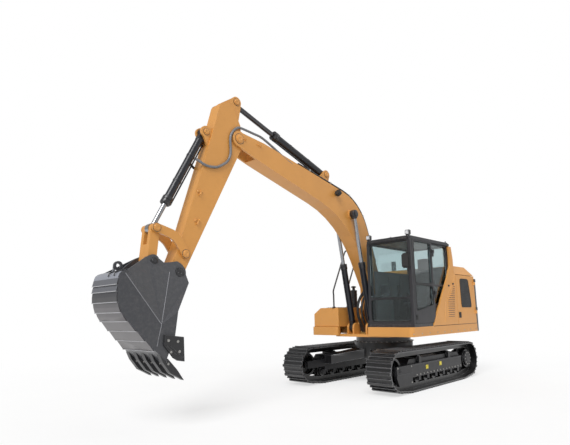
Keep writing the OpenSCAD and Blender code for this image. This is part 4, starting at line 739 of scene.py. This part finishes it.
pipes, clamps = bmesh.new(), bmesh.new()
for y in PIPE_Y:
    path = []
    for k in range(PIPE_STEPS + 1):
        where, up = boom_top((PIPE_FROM + PIPE_SPAN * k / PIPE_STEPS) * BOOM_LEN, y)
        path.append(where + up * PIPE_LIFT)
        if k % CLAMP_EVERY == CLAMP_FIRST:
            along = (path[-1] - path[-2]).normalized()
            lathe(clamps, path[-1], along, CLAMP_ROWS, 16)
            tube(clamps, [where - up * 0.002, where + up * 0.02], CLAMP_FOOT_R)
            bolt(clamps, path[-1] + up * 0.021, up, CLAMP_BOLT_R)
    tube(pipes, path, PIPE_R, sides=10)
piece("boom_pipes", pipes, black, "boom")
piece("boom_pipe_clamps", clamps, zinc, "boom")

# Hose hooks of boom and stick: places on the side plate, and steps along, across and out of it
HOOKS = (
    ("boom_hooks", "boom", on_boom, 154, 8, ((4275, 225), (4560, 62)),
     ((-40, 8, 0), (-22, 14, 22), (0, 0, 26), (20, -12, 22), (36, -20, 0))),
    ("stick_brackets", "stick", on_stick, 114, 9, ((1219, 193), (1626, 34)),
     ((-38, 0, 0), (-34, 0, 26), (0, 4, 30), (34, 0, 26), (38, 0, 0))),
)
BOSS_ROWS = ((20, -1), (20, 6), (14, 12), (6, 13))
for name, body, place, side, r, spots, steps in HOOKS:
    bm = bmesh.new()
    for s, t in spots:
        tube(bm, smooth_path([place(s + a, t + b, side + c) for a, b, c in steps]), r, sides=10)
        if body == "stick":
            lathe(bm, place(s, t + 40, side + 1), LEFT, BOSS_ROWS, 18)
    piece(name, bm, yellow, body)


# House doors: louvre grilles with rounded corners, and latches given by x and z of their ends
HALF_W = 1240
DOOR_X, DOOR_L, DOOR_Z, DOOR_H = -1874, 908, 1111, 1029
LOUVRE = ((0.2445, 0.337), (0.792, 0.337), (0.803, 0.918), (0.357, 0.918))
LOUVRE_CORNER, LOUVRE_IN, LOUVRE_OUT, RIM_R = 0.07, -0.006, 0.0015, 7
LOUVRE_BEND = [((1 - t) ** 2, t ** 2) for t in (0, 0.25, 0.5, 0.75, 1)]
BARS, BAR_INSET, BAR_OUT, BAR_R, BROAD_EVERY, BROAD_R = 23, 8, 2, 3.5, 4, 7
LATCH_PLATE, LATCH_LEVER = (-1110, -998, 1238, 1356), (-1096, -1012, 1290, 1346)
LATCH_LOCK = (-1054, 1264)
LATCH_LOCK_ROWS = ((13, 0), (13, 4), (10, 6), (4, 6), (4, 3))


def louvre_edge(corner_a, corner_b, z):
    """x of a slanted side of the grille at a height."""
    (xa, za), (xb, zb) = corner_a, corner_b
    t = (z - DOOR_Z - za * DOOR_H) / ((zb - za) * DOOR_H)
    return DOOR_X + DOOR_L * (xa + (xb - xa) * t)


def rounded(corners, size, bend):
    """Closed outline with round corners: bend holds shares of size towards both neighbours."""
    out = []
    for i, c in enumerate(corners):
        before, after = corners[i - 1], corners[(i + 1) % len(corners)]
        da, db = (before - c).normalized() * size, (after - c).normalized() * size
        out += [c + da * p + db * q for p, q in bend]
    return out


def side_block(bm, ends, y0, y1, edge):
    """Block with its x and z ends on a wall, between two distances from the middle plane."""
    x0, x1, z0, z1 = ends
    block(bm, at(x0, y0, z0), at(x1, y1, z1), edge)


for label, s in (("left", 1), ("right", -1)):
    bm = bmesh.new()
    corners = [at(DOOR_X + x * DOOR_L, s * HALF_W, DOOR_Z + z * DOOR_H) for x, z in LOUVRE]
    rim = rounded(corners, LOUVRE_CORNER, LOUVRE_BEND)
    rings(bm, [[v + LEFT * (s * d) for v in rim] for d in (LOUVRE_IN, LOUVRE_OUT)])
    tube(bm, [v + LEFT * (s * 0.001) for v in rim], RIM_R, closed=True)
    low, high = (DOOR_Z + LOUVRE[i][1] * DOOR_H for i in (0, 2))
    for k in range(1, BARS + 1):
        z = low + (high - low) * k / (BARS + 1)
        x0 = louvre_edge(LOUVRE[0], LOUVRE[3], z) + BAR_INSET
        x1 = louvre_edge(LOUVRE[1], LOUVRE[2], z) - BAR_INSET
        tube(bm, [at(x, s * (HALF_W + BAR_OUT), z) for x in (x0, (x0 + x1) / 2, x1)],
             BROAD_R if k % BROAD_EVERY == 0 else BAR_R)
    piece(f"louvre_{label}", bm, plastic, f"{label}_door")
    bm = bmesh.new()
    side_block(bm, LATCH_PLATE, s * HALF_W, s * (HALF_W + 5), 4)
    side_block(bm, LATCH_LEVER, s * (HALF_W + 3), s * (HALF_W + 12), 5)
    lock = at(LATCH_LOCK[0], s * (HALF_W + 4), LATCH_LOCK[1])
    lathe(bm, lock, LEFT * s, LATCH_LOCK_ROWS, 20)
    piece(f"door_latch_{label}", bm, plastic, f"{label}_door")

# Pressed vents behind the cab, with dark strips under their lips as painted shade in the openings,
# a crease and two knobs
VENT_Z = range(1284, 1893, 38)
VENT_FRONT, VENT_BEND_Z, FRONT_LEAN = -520, 1587, 298 / 315
VENT_REAR, VENT_FOOT_Z, REAR_LEAN = -788, 1268, 107 / 636
VENT_LIP = ((0, 14), (5, 11), (9, 5), (10, -2), (8, -6), (0, -6))
VENT_SHADE_STRIP = ((0, -6), (1.2, -7), (1.2, -14), (0, -15))
LIP_RUN, LIP_END, SHADE_STRIP_INSET = 9, 0.15, 6
CREASE, CREASE_R = ((-904, 2109), (-863, 2016), (-424, 1586), (-359, 1171)), 5
KNOBS = ((-600, 1893), (-801, 1935))
KNOB_ROWS = ((22, 0), (22, 5), (14, 9), (16, 16), (12, 22), (3, 23))
lips, shade_and_knobs = bmesh.new(), bmesh.new()
for z in VENT_Z:
    x0 = VENT_REAR - REAR_LEAN * (z - VENT_FOOT_Z)
    x1 = VENT_FRONT - FRONT_LEAN * max(0, z - VENT_BEND_Z)
    ends = ((x0, LIP_END), (x0 + LIP_RUN, 1.0), (x1 - LIP_RUN, 1.0), (x1, LIP_END))
    rings(lips, [[at(x, HALF_W + dy * grow, z + dz) for dy, dz in VENT_LIP] for x, grow in ends])
    # Dark strips: painted shade in the vent openings
    rings(shade_and_knobs, [[at(x, HALF_W + dy, z + dz) for dy, dz in VENT_SHADE_STRIP]
                   for x in (x0 + SHADE_STRIP_INSET, x1 - SHADE_STRIP_INSET)])
tube(lips, [at(x, HALF_W - 1, z) for x, z in CREASE], CREASE_R)
piece("panel_vents", lips, yellow)
for x, z in KNOBS:
    lathe(shade_and_knobs, at(x, HALF_W, z), LEFT, KNOB_ROWS, 20)
piece("panel_vent_shade_and_knobs", shade_and_knobs, black)

# Bolts along the deck's skirt and the seams above it: side and forward end of each row
SKIRT_Z, SKIRT_R = 985, 9
SEAM_X, SEAM_Z, SEAM_R = (-1872, -1200, -600), 1105, 4
bm = bmesh.new()
for s, end in ((1, 901), (-1, 801)):
    for x in range(-1800, end, 300):
        bolt(bm, at(x, s * HALF_W, SKIRT_Z), LEFT * s, SKIRT_R)
piece("skirt_bolts", bm, zinc)
bm = bmesh.new()
for s, end in ((1, 130), (-1, -930)):
    tube(bm, [at(x, s * HALF_W, SEAM_Z) for x in (*SEAM_X, end)], SEAM_R)
piece("deck_seams", bm, seal)

# Tread strips on tool box and tank: rows of rear end, front end and height
TANK_TOP = 1480
TREADS = ((90, 780, 1495), (-880, 30, TANK_TOP))
TREAD_Y, TREAD_HALF, TREAD_INSET, STUD_PITCH = (-640, -770, -900), 34, 60, 60
STUD_ROWS = ((18, 0), (18, 3), (13, 6), (11, 6), (10, 2))
bm = bmesh.new()
for x0, x1, top in TREADS:
    for y in TREAD_Y:
        block(bm, at(x0 + TREAD_INSET, y - TREAD_HALF, top),
              at(x1 - TREAD_INSET, y + TREAD_HALF, top + 5), 3)
        for x in range(x0 + 110, x1 - 80, STUD_PITCH):
            lathe(bm, at(x, y, top + 4), UP, STUD_ROWS, 14)
piece("tread_strips", bm, black)

# Tank cap with its bar, lifting eyes of the counterweight, handles and ribs of the hood
CAP_ROWS = ((66, 0), (66, 12), (58, 16), (58, 40), (52, 46), (20, 46), (18, 52))
bm = bmesh.new()
lathe(bm, at(-700, -1010, TANK_TOP), UP, CAP_ROWS, 28)
block(bm, at(-712, -1060, 1522), at(-688, -960, 1536), 4)
piece("fuel_cap", bm, black)
TAIL_TOP, LIFT_X, LIFT_Y, LIFT_STEPS = 2118, -2050, (-560, 560), 12
LIFT_FOOT_ROWS = ((30, 0), (30, 6), (24, 10))
bm = bmesh.new()
for y in LIFT_Y:
    angles = [pi * k / LIFT_STEPS for k in range(LIFT_STEPS + 1)]
    ring = [at(LIFT_X + 60 * cos(a), y, TAIL_TOP + 62 * sin(a)) for a in angles]
    tube(bm, ring, 15, sides=12)
    for x in (LIFT_X - 60, LIFT_X + 60):
        lathe(bm, at(x, y, TAIL_TOP), UP, LIFT_FOOT_ROWS, 18)
piece("lifting_eyes", bm, casting)
HANDLE_Y, HANDLE_ENDS, HANDLE_R = (-430, 430), (-1700, -1500), 10
HANDLE = ((-1700, 2329), (-1700, 2362), (-1676, 2376), (-1524, 2376), (-1500, 2362),
          (-1500, 2329))
HANDLE_FOOT_ROWS = ((24, 0), (24, 4), (19, 7))
bm = bmesh.new()
for y in HANDLE_Y:
    tube(bm, smooth_path([at(x, y, z) for x, z in HANDLE], 4), HANDLE_R, sides=10)
    for x in HANDLE_ENDS:
        lathe(bm, at(x, y, 2334), UP, HANDLE_FOOT_ROWS, 16)
piece("hood_handles", bm, black, "engine_hood")
HOOD_RIB_Y, HOOD_RIB_X, HOOD_RIB_R = (-820, -410, 0, 410, 820), (-1620, -1615, -1150, -1145), 9
bm = bmesh.new()
for y in HOOD_RIB_Y:
    tube(bm, [at(x, y, 2333) for x in HOOD_RIB_X], HOOD_RIB_R, sides=10)
piece("hood_ribs", bm, yellow, "engine_hood")

# Handrail feet with their bolts, and bands and caps of the air cleaner: height, form and sides
RAIL_X, RAIL_Y, RAIL_Z = (794.75, 331.5), -656, 1495.5
RAIL_FOOT_ROWS = ((46, 0), (46, 7), (30, 9), (26, 26))
FOOT_BOLT_Z, FOOT_BOLT_RING, FOOT_BOLT_R = 1502, 36, 5
DIAGONALS = (AHEAD + LEFT).normalized(), (LEFT - AHEAD).normalized()
CLEANER_X, CLEANER_Y = 130, -626
BAND_ROWS = ((70.5, -13), (74, -12), (74, 12), (70.5, 13))
CLEANER_TRIM = (
    (1560, BAND_ROWS, 32), (1780, BAND_ROWS, 32),
    (1850, ((76, -6), (76, 8), (62, 22), (34, 26)), 32),
    (1926, ((50, 0), (56, 6), (56, 22), (40, 34), (10, 38)), 28),
)
bm = bmesh.new()
for x in RAIL_X:
    lathe(bm, at(x, RAIL_Y, RAIL_Z), UP, RAIL_FOOT_ROWS)
    for spot in circle(at(x, RAIL_Y, FOOT_BOLT_Z), *DIAGONALS, FOOT_BOLT_RING, 4):
        bolt(bm, spot, UP, FOOT_BOLT_R)
for z, rows, sides in CLEANER_TRIM:
    lathe(bm, at(CLEANER_X, CLEANER_Y, z), UP, rows, sides)
piece("rail_feet_and_bands", bm, black)

# Cab: its walls, and the seals round its windows
CAB_FRONT, CAB_IN, CAB_OUT, WALL_Z, WALL_H = 838, 256, 1233, 1165, 1559
CAB_W, MID_Y = CAB_OUT - CAB_IN, (CAB_IN + CAB_OUT) / 2
POST, LINTEL, BAR, SPLIT, RAIL = 58, 28, 32, 0.303 * WALL_H, 0.464 * WALL_H
SILL, SILL_REAR, SILL_FRONT = 0.03 * WALL_H, 0.222 * WALL_H, 0.147 * WALL_H
DOOR_HINGE_X, DOOR_LEN = 10, 766
SEAL_R, SEAL_CORNER, SEAL_IN = 7, 0.058, 2
SEAL_BEND = ((1, 0), (0.45, 0.08), (0.2, 0.2), (0.08, 0.45), (0, 1))


def seal_loop(bm, place, rows):
    """Rubber seal round a window, given by corners on its wall."""
    loop = rounded([place(*row) for row in rows], SEAL_CORNER, SEAL_BEND)
    tube(bm, loop, SEAL_R, closed=True)


def on_front(y, z):
    return at(CAB_FRONT - SEAL_IN, CAB_IN + y, WALL_Z + z)


def on_door(x, z):
    return at(DOOR_HINGE_X + x, CAB_OUT - SEAL_IN, WALL_Z + z)


bm = bmesh.new()
for low, high in ((SILL, SPLIT - BAR / 2), (SPLIT + BAR / 2, WALL_H - LINTEL)):
    seal_loop(bm, on_front, ((POST, low), (CAB_W - POST, low), (CAB_W - POST, high), (POST, high)))
piece("windshield_seals", bm, seal)
bm = bmesh.new()
for rear, front, high in ((SILL_REAR, SILL_FRONT, RAIL - BAR / 2),
                          (RAIL + BAR / 2, RAIL + BAR / 2, WALL_H - LINTEL)):
    far = DOOR_LEN - POST
    seal_loop(bm, on_door, ((POST, rear), (far, front), (far, high), (POST, high)))
piece("door_seals", bm, seal, "cab_door")

# Door handle, mirror and square work lamps
HANDLE_PLATE, HANDLE_LEVER = (690, 762, 1238, 1330), (700, 752, 1282, 1318)
bm = bmesh.new()
side_block(bm, HANDLE_PLATE, CAB_OUT - 2, CAB_OUT + 4, 4)
side_block(bm, HANDLE_LEVER, CAB_OUT + 1, CAB_OUT + 13, 5)
lathe(bm, at(726, CAB_OUT + 3, 1260), LEFT, ((10, 0), (10, 3), (8, 5), (3, 5)), 16)
piece("cab_door_handle", bm, plastic, "cab_door")

MIRROR_GROW = Vector.Fill(3, 0.004)
MIRROR_ARM = ((800, -20, 2400), (870, -12, 2410), (872, -30, 2340), (868, -60, 2280))
lo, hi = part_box("mirrors")
bm = bmesh.new()
block(bm, lo - MIRROR_GROW, hi + MIRROR_GROW, 26)
tube(bm, smooth_path([at(x, CAB_OUT + y, z) for x, y, z in MIRROR_ARM]), 10, sides=10)
mirror = piece("mirror_shell", bm, plastic)
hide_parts("mirrors")

LAMP_Y, LAMP_HALF, FOOT_HALF, LENS_HALF, GRILLE_HALF = (0.300, 1.178), 0.048, 0.007, 0.037, 0.039


def slab(bm, x0, x1, y, half, z0, z1, edge):
    """Block of a half width about y, in metres."""
    block(bm, Vector((x0, y - half, z0)), Vector((x1, y + half, z1)), edge)


shells, lenses = bmesh.new(), bmesh.new()
lo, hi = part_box("work_lamps")
x0, x1, z0, z1 = lo.x, hi.x, lo.z + 0.010, lo.z + 0.102
for y in LAMP_Y:
    slab(shells, x0, x1, y, LAMP_HALF, z0, z1, 10)
    for foot in (y - 0.026, y + 0.026):
        slab(shells, x0 + 0.02, x0 + 0.05, foot, FOOT_HALF, lo.z - 0.024, z0 + 0.01, 2)
    slab(lenses, x1 - 0.004, x1 + 0.005, y, LENS_HALF, z0 + 0.011, z1 - 0.011, 3)
    for k in (-1, 0, 1):
        z = (z0 + z1) / 2 + k * 0.023
        slab(shells, x1 - 0.002, x1 + 0.007, y, GRILLE_HALF, z - 0.0015, z + 0.0015, 1)
lamps = piece("work_lamp_shells", shells, black)
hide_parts("work_lamps")
piece("work_lamp_lenses", lenses, lens)

# Roof: visor, three aerial feet and the hatch with its two bars
AERIALS = ((-700, 300), (-700, 1190), (700, 740))
AERIAL_ROWS = ((24, -2), (24, 4), (12, 8), (10, 30), (5, 34))
bm = bmesh.new()
block(bm, at(838, 300, 2722), at(866, 1190, 2762), 10)
for x, y in AERIALS:
    lathe(bm, at(x, y, 2794), UP, AERIAL_ROWS, 18)
piece("roof_visor", bm, black)
bm = bmesh.new()
block(bm, at(-420, 480, 2790), at(320, 1010, 2812), 14)
for x in (-380, 280):
    block(bm, at(x - 20, 540, 2808), at(x + 20, 950, 2818), 4)
piece("roof_hatch", bm, grey)

# Cab inside: seat on its bellows, levers, pedals and monitor
SEAT_L, SEAT_W, CUSHION_H, SEAT_Z = 480, 0.49 * CAB_W, 110, 310
CUSHION_CUTS, CUSHION_ROUND = 28, 0.22
CROWN_LOW, CROWN_POWER = 0.78, 0.6
CHANNEL_DEPTH, CHANNEL_W = 0.10, 0.035


def in_cab(x, y, z):
    """Place in the cab: y from its middle, z above its floor."""
    return at(x, MID_Y + y, WALL_Z + z)


def cushion(name, low, high, crown_axis, channels):
    """Closed crowned pad between two corners, with sewn channels across its swollen faces."""
    bm = bmesh.new()
    size, middle = high - low, (low + high) / 2
    bmesh.ops.create_cube(bm, size=1.0)
    bmesh.ops.subdivide_edges(bm, edges=list(bm.edges), cuts=CUSHION_CUTS, use_grid_fill=True)
    first, second = (i for i in range(3) if i != crown_axis)
    for v in bm.verts:
        t = v.co * 2
        t = t.lerp(t.normalized() * max(abs(t.x), abs(t.y), abs(t.z)), CUSHION_ROUND)
        a, b = t[first], t[second]
        swell = max(0.0, (1 - a * a) * (1 - b * b))
        t[crown_axis] *= CROWN_LOW + (1 - CROWN_LOW) * swell ** CROWN_POWER
        if abs(t[crown_axis]) > 0.5:
            groove = sum(exp(-((b - c) / CHANNEL_W) ** 2) for c in channels)
            depth = CHANNEL_DEPTH * groove * (1 - abs(a) ** 6)
            t[crown_axis] -= copysign(depth, t[crown_axis])
        v.co = middle + Vector((t.x * size.x, t.y * size.y, t.z * size.z)) / 2
    obj = piece(name, bm, fabric, smooth=CUSHION_ANGLE)


cushion("seat_cushion", in_cab(-SEAT_L, -SEAT_W / 2, SEAT_Z),
        in_cab(0, SEAT_W / 2, SEAT_Z + CUSHION_H), 2, (-0.55, 0.55))
cushion("seat_back", in_cab(-SEAT_L - CUSHION_H, -SEAT_W / 2, SEAT_Z + 60),
        in_cab(-SEAT_L, SEAT_W / 2, SEAT_Z + 740), 0, (-0.35, 0.1, 0.5))
cushion("seat_headrest", in_cab(-SEAT_L - 105, -130, SEAT_Z + 752),
        in_cab(-SEAT_L - 5, 130, SEAT_Z + 1010), 0, ())

STAND_REAR, STAND_FRONT, STAND_HALF = -SEAT_L * 0.75, -SEAT_L * 0.25, SEAT_W / 4
FOLD_Z, FOLD_H, FOLD_OUT = range(60, 241, 45), 22, 12
bm = bmesh.new()
block(bm, in_cab(STAND_REAR, -STAND_HALF, 0), in_cab(STAND_FRONT, STAND_HALF, SEAT_Z), 14)
for z in FOLD_Z:
    block(bm, in_cab(STAND_REAR - FOLD_OUT, -STAND_HALF - FOLD_OUT, z),
          in_cab(STAND_FRONT + FOLD_OUT, STAND_HALF + FOLD_OUT, z + FOLD_H), 9)
for y in (-60, 60):
    tube(bm, [in_cab(-SEAT_L - 55, y, SEAT_Z + h) for h in (730, 775)], 8, sides=10)
block(bm, in_cab(-SEAT_L - 100, -150, SEAT_Z - 4), in_cab(-20, 150, SEAT_Z + 6), 3)
stand = piece("seat_stand", bm, plastic)
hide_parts("seat")

LEVER_Y, LEVER_Z, GRIP_UP = SEAT_W / 2 + 0.065 * CAB_W + 5, 520, 0.15
BOOT_ROWS = ((58, -2), (58, 6), (46, 20), (48, 30), (36, 44), (38, 54), (24, 70))
GRIP_ROWS = ((24, 0), (27, 18), (25, 42), (30, 66), (32, 84), (24, 98), (8, 103))
PEDAL_Y, PEDAL_HALF, RIDGE_X, RIDGE_HALF = 90, 48, range(372, 525, 38), 42
TRAVEL_LEVER = ((350, 30), (400, 160), (330, 420), (315, 520))
TRAVEL_KNOB_ROWS = ((16, 0), (21, 10), (21, 60), (14, 72))
bm = bmesh.new()
for s in (-1, 1):
    top = in_cab(0, s * LEVER_Y, LEVER_Z)
    lathe(bm, top, UP, BOOT_ROWS)
    lathe(bm, top + UP * GRIP_UP, UP, GRIP_ROWS, 20)
    y = s * PEDAL_Y
    tube(bm, [in_cab(x, y, z) for x, z in TRAVEL_LEVER], 11, sides=10)
    lathe(bm, in_cab(315, y, 515), UP, TRAVEL_KNOB_ROWS, 16)
    block(bm, in_cab(360, y - PEDAL_HALF, 40), in_cab(560, y + PEDAL_HALF, 62), 6)
    for x in RIDGE_X:
        block(bm, in_cab(x, y - RIDGE_HALF, 60), in_cab(x + 16, y + RIDGE_HALF, 68), 2)
piece("levers_and_pedals", bm, plastic)
MONITOR_ARM = ((545, -293.5, 570), (600, -338.5, 520), (700, -418.5, 500))
bm = bmesh.new()
block(bm, in_cab(520, -398.5, 560), in_cab(556, -188.5, 740), 10)
tube(bm, smooth_path([in_cab(*p) for p in MONITOR_ARM]), 13, sides=10)
block(bm, in_cab(516, -384.5, 574), in_cab(522, -202.5, 726), 2)
piece("monitor", bm, screen)

# Dark panels inside the cab's rear and right walls, which darken the view through its windows: rows
# of two opposite corners and the edge's rounding
INNER_PANELS = (
    ((-733, 330, 1185), (-712, 1122, 2290), 10),
    ((-714, 350, 1200), (-700, 1102, 1620), 7),
    ((-714, 350, 1650), (-700, 1102, 2050), 7),
    ((-714, 420, 2080), (-700, 1032, 2262), 7),
    ((-700, 313, 1185), (690, 330, 2190), 10),
    ((-680, 328, 1230), (-250, 342, 2165), 7),
    ((-225, 328, 1230), (215, 342, 2165), 7),
    ((240, 328, 1230), (670, 342, 2165), 7),
)
bm = bmesh.new()
for low, high, edge in INNER_PANELS:
    block(bm, at(*low), at(*high), edge)
piece("cab_inner_panels", bm, inner_panel_grey)

# Undercarriage: bolts, tie-down plates, rails, idler guards, sprocket covers and bearing bolts
GAUGE_Y, WEB_OUT, GUARD_OUT, AXLE_Z = 995, 164, 192, 385
FRAME_BOLT_X, FRAME_BOLT_Z = range(-1060, 733, 128), 268
FRAME_BOLT_R, COVER_BOLT_R = 11, 9
TIE_DOWNS = ((348, 372), (-183, 388))
TIE_ROWS = ((30, 0), (30, 5), (24, 8), (14, 8), (13, 2))
RAILS = ((-1105, 900, 438, 462), (-1105, 900, 240, 258))
GUARD_RAIL = (935, 1432, 322, 338)
IDLER_X, IDLER_ROWS = 1324, ((34, 0), (34, 6), (26, 9), (15, 9), (14, 2))
GUARD_BOLTS = ((960, 440), (960, 170), (1410, 440))
SPROCKET_X, COVER_BOLTS, COVER_RING = -1385, 10, 120
COVER_ROWS = ((150, 0), (150, 8), (138, 16), (96, 18), (90, 26), (40, 28))
BEARING_BOLTS, BEARING_RING, BEARING_Z = 36, 610, 799.5
bolts, eyes, guards = bmesh.new(), bmesh.new(), bmesh.new()
for s in (-1, 1):
    face = s * (GAUGE_Y + WEB_OUT)
    for x in FRAME_BOLT_X:
        bolt(bolts, at(x, face, FRAME_BOLT_Z), LEFT * s, FRAME_BOLT_R)
    for x, z in TIE_DOWNS:
        side_block(eyes, (x - 46, x + 46, z - 40, z + 40), face - s * 2, face + s * 5, 4)
        lathe(eyes, at(x, face + s * 4, z), LEFT * s, TIE_ROWS)
    for ends in RAILS:
        side_block(guards, ends, face - s * 2, face + s * 9, 4)
    out = s * (GAUGE_Y + GUARD_OUT)
    side_block(guards, GUARD_RAIL, out - s * 2, out + s * 8, 4)
    lathe(guards, at(IDLER_X, out - s * 1, AXLE_Z), LEFT * s, IDLER_ROWS)
    for x, z in GUARD_BOLTS:
        bolt(bolts, at(x, out, z), LEFT * s, FRAME_BOLT_R)
    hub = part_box("drive_sprockets")[1 if s > 0 else 0].y * 1000
    lathe(guards, at(SPROCKET_X, hub - s * 4, AXLE_Z), LEFT * s, COVER_ROWS, 40)
    for spot in circle(at(SPROCKET_X, hub + s * 12, AXLE_Z), AHEAD, UP, COVER_RING, COVER_BOLTS):
        bolt(bolts, spot, LEFT * s, COVER_BOLT_R)
for spot in circle(at(0, 0, BEARING_Z), AHEAD, LEFT, BEARING_RING, BEARING_BOLTS):
    bolt(bolts, spot, UP, FRAME_BOLT_R)
piece("undercarriage_bolts", bolts, zinc, "undercarriage")
piece("tie_down_spots", eyes, signal, "undercarriage")
piece("frame_rails", guards, web_grey, "undercarriage")


# Floor and soft studio light: the floor's glow rises from near to far, in shares of FLOOR_FAR
FLOOR_HALF, FLOOR_FAR, FADE_FROM, FADE_TO, NEAR_GLOW = 60.0, 20.0, 0.2, 0.55, 0.6
FLOOR_DARK, FLOOR_PALE, FLOOR_ROUGH = 0.86, 0.90, 0.9
WORLD_LIGHT = 0.46


def seen_by(tree, *rays):
    """1 for rays of the kinds named and 0 for all others."""
    path = add(tree, "LightPath").outputs
    seen = 0.0
    for ray in rays:
        seen = maths(tree, "MAXIMUM", path[f"Is {ray} Ray"], seen)
    return seen


def camera_white(tree, bsdf, share):
    """White to camera, reflections and glass; the light on the part comes from lamps and sky."""
    glow = add(tree, "Emission", Strength=1.0)
    blend = add(tree, "MixShader")
    seen = seen_by(tree, "Camera", "Glossy", "Transmission")
    inputs = (maths(tree, "MULTIPLY", seen, share), bsdf.outputs[0], glow.outputs[0])
    for socket, value in zip(blend.inputs, inputs):
        feed(tree, socket, value)
    return blend.outputs[0]


def stage_floor():
    mesh = bpy.data.meshes.new("floor")
    half = FLOOR_HALF
    mesh.from_pydata([(-half, -half, 0), (half, -half, 0), (half, half, 0), (-half, half, 0)],
                     [], [(0, 1, 2, 3)])
    floor = linked("floor", mesh)
    mat, tree, bsdf, where = node_tree("pale_floor")
    tint = ramp(tree, noise(tree, where, 0.6), 0.3, 0.8, level(FLOOR_DARK), level(FLOOR_PALE))
    fill(tree, bsdf, Base_Color=tint, Roughness=FLOOR_ROUGH)
    away = add(tree, "VectorMath", operation="LENGTH", Vector=where)
    far = maths(tree, "DIVIDE", away.outputs["Value"], FLOOR_FAR)
    glow = ramp(tree, far, FADE_FROM, FADE_TO, level(NEAR_GLOW), FULL)
    tree.links.new(camera_white(tree, bsdf, glow), tree.nodes["Material Output"].inputs["Surface"])
    mesh.materials.append(mat)


def sun_light(name, towards, spread, strength):
    """Broad soft light from one side, the same all over the machine."""
    data = bpy.data.lights.new(name, "SUN")
    data.angle = radians(spread)
    data.energy = strength
    lamp = linked(name, data)
    lamp.rotation_euler = Vector(towards).to_track_quat("Z", "Y").to_euler()


def studio_sky():
    """Pale sky that lights the part softly and is white to the camera and through glass."""
    world = bpy.data.worlds.new("studio")
    world.use_nodes = True
    tree = world.node_tree
    sky = tree.nodes["Background"]
    sky.inputs[0].default_value = FULL
    extra = maths(tree, "MULTIPLY", seen_by(tree, "Camera", "Transmission"), 1.0 - WORLD_LIGHT)
    tree.links.new(maths(tree, "ADD", extra, WORLD_LIGHT), sky.inputs[1])
    scene.world = world


stage_floor()
studio_sky()
sun_light("key", (0.75, 0.35, 0.80), 35, 2.7)
sun_light("back_fill", (-0.6, 0.5, 0.5), 60, 0.35)
scene.view_settings.view_transform = "Standard"
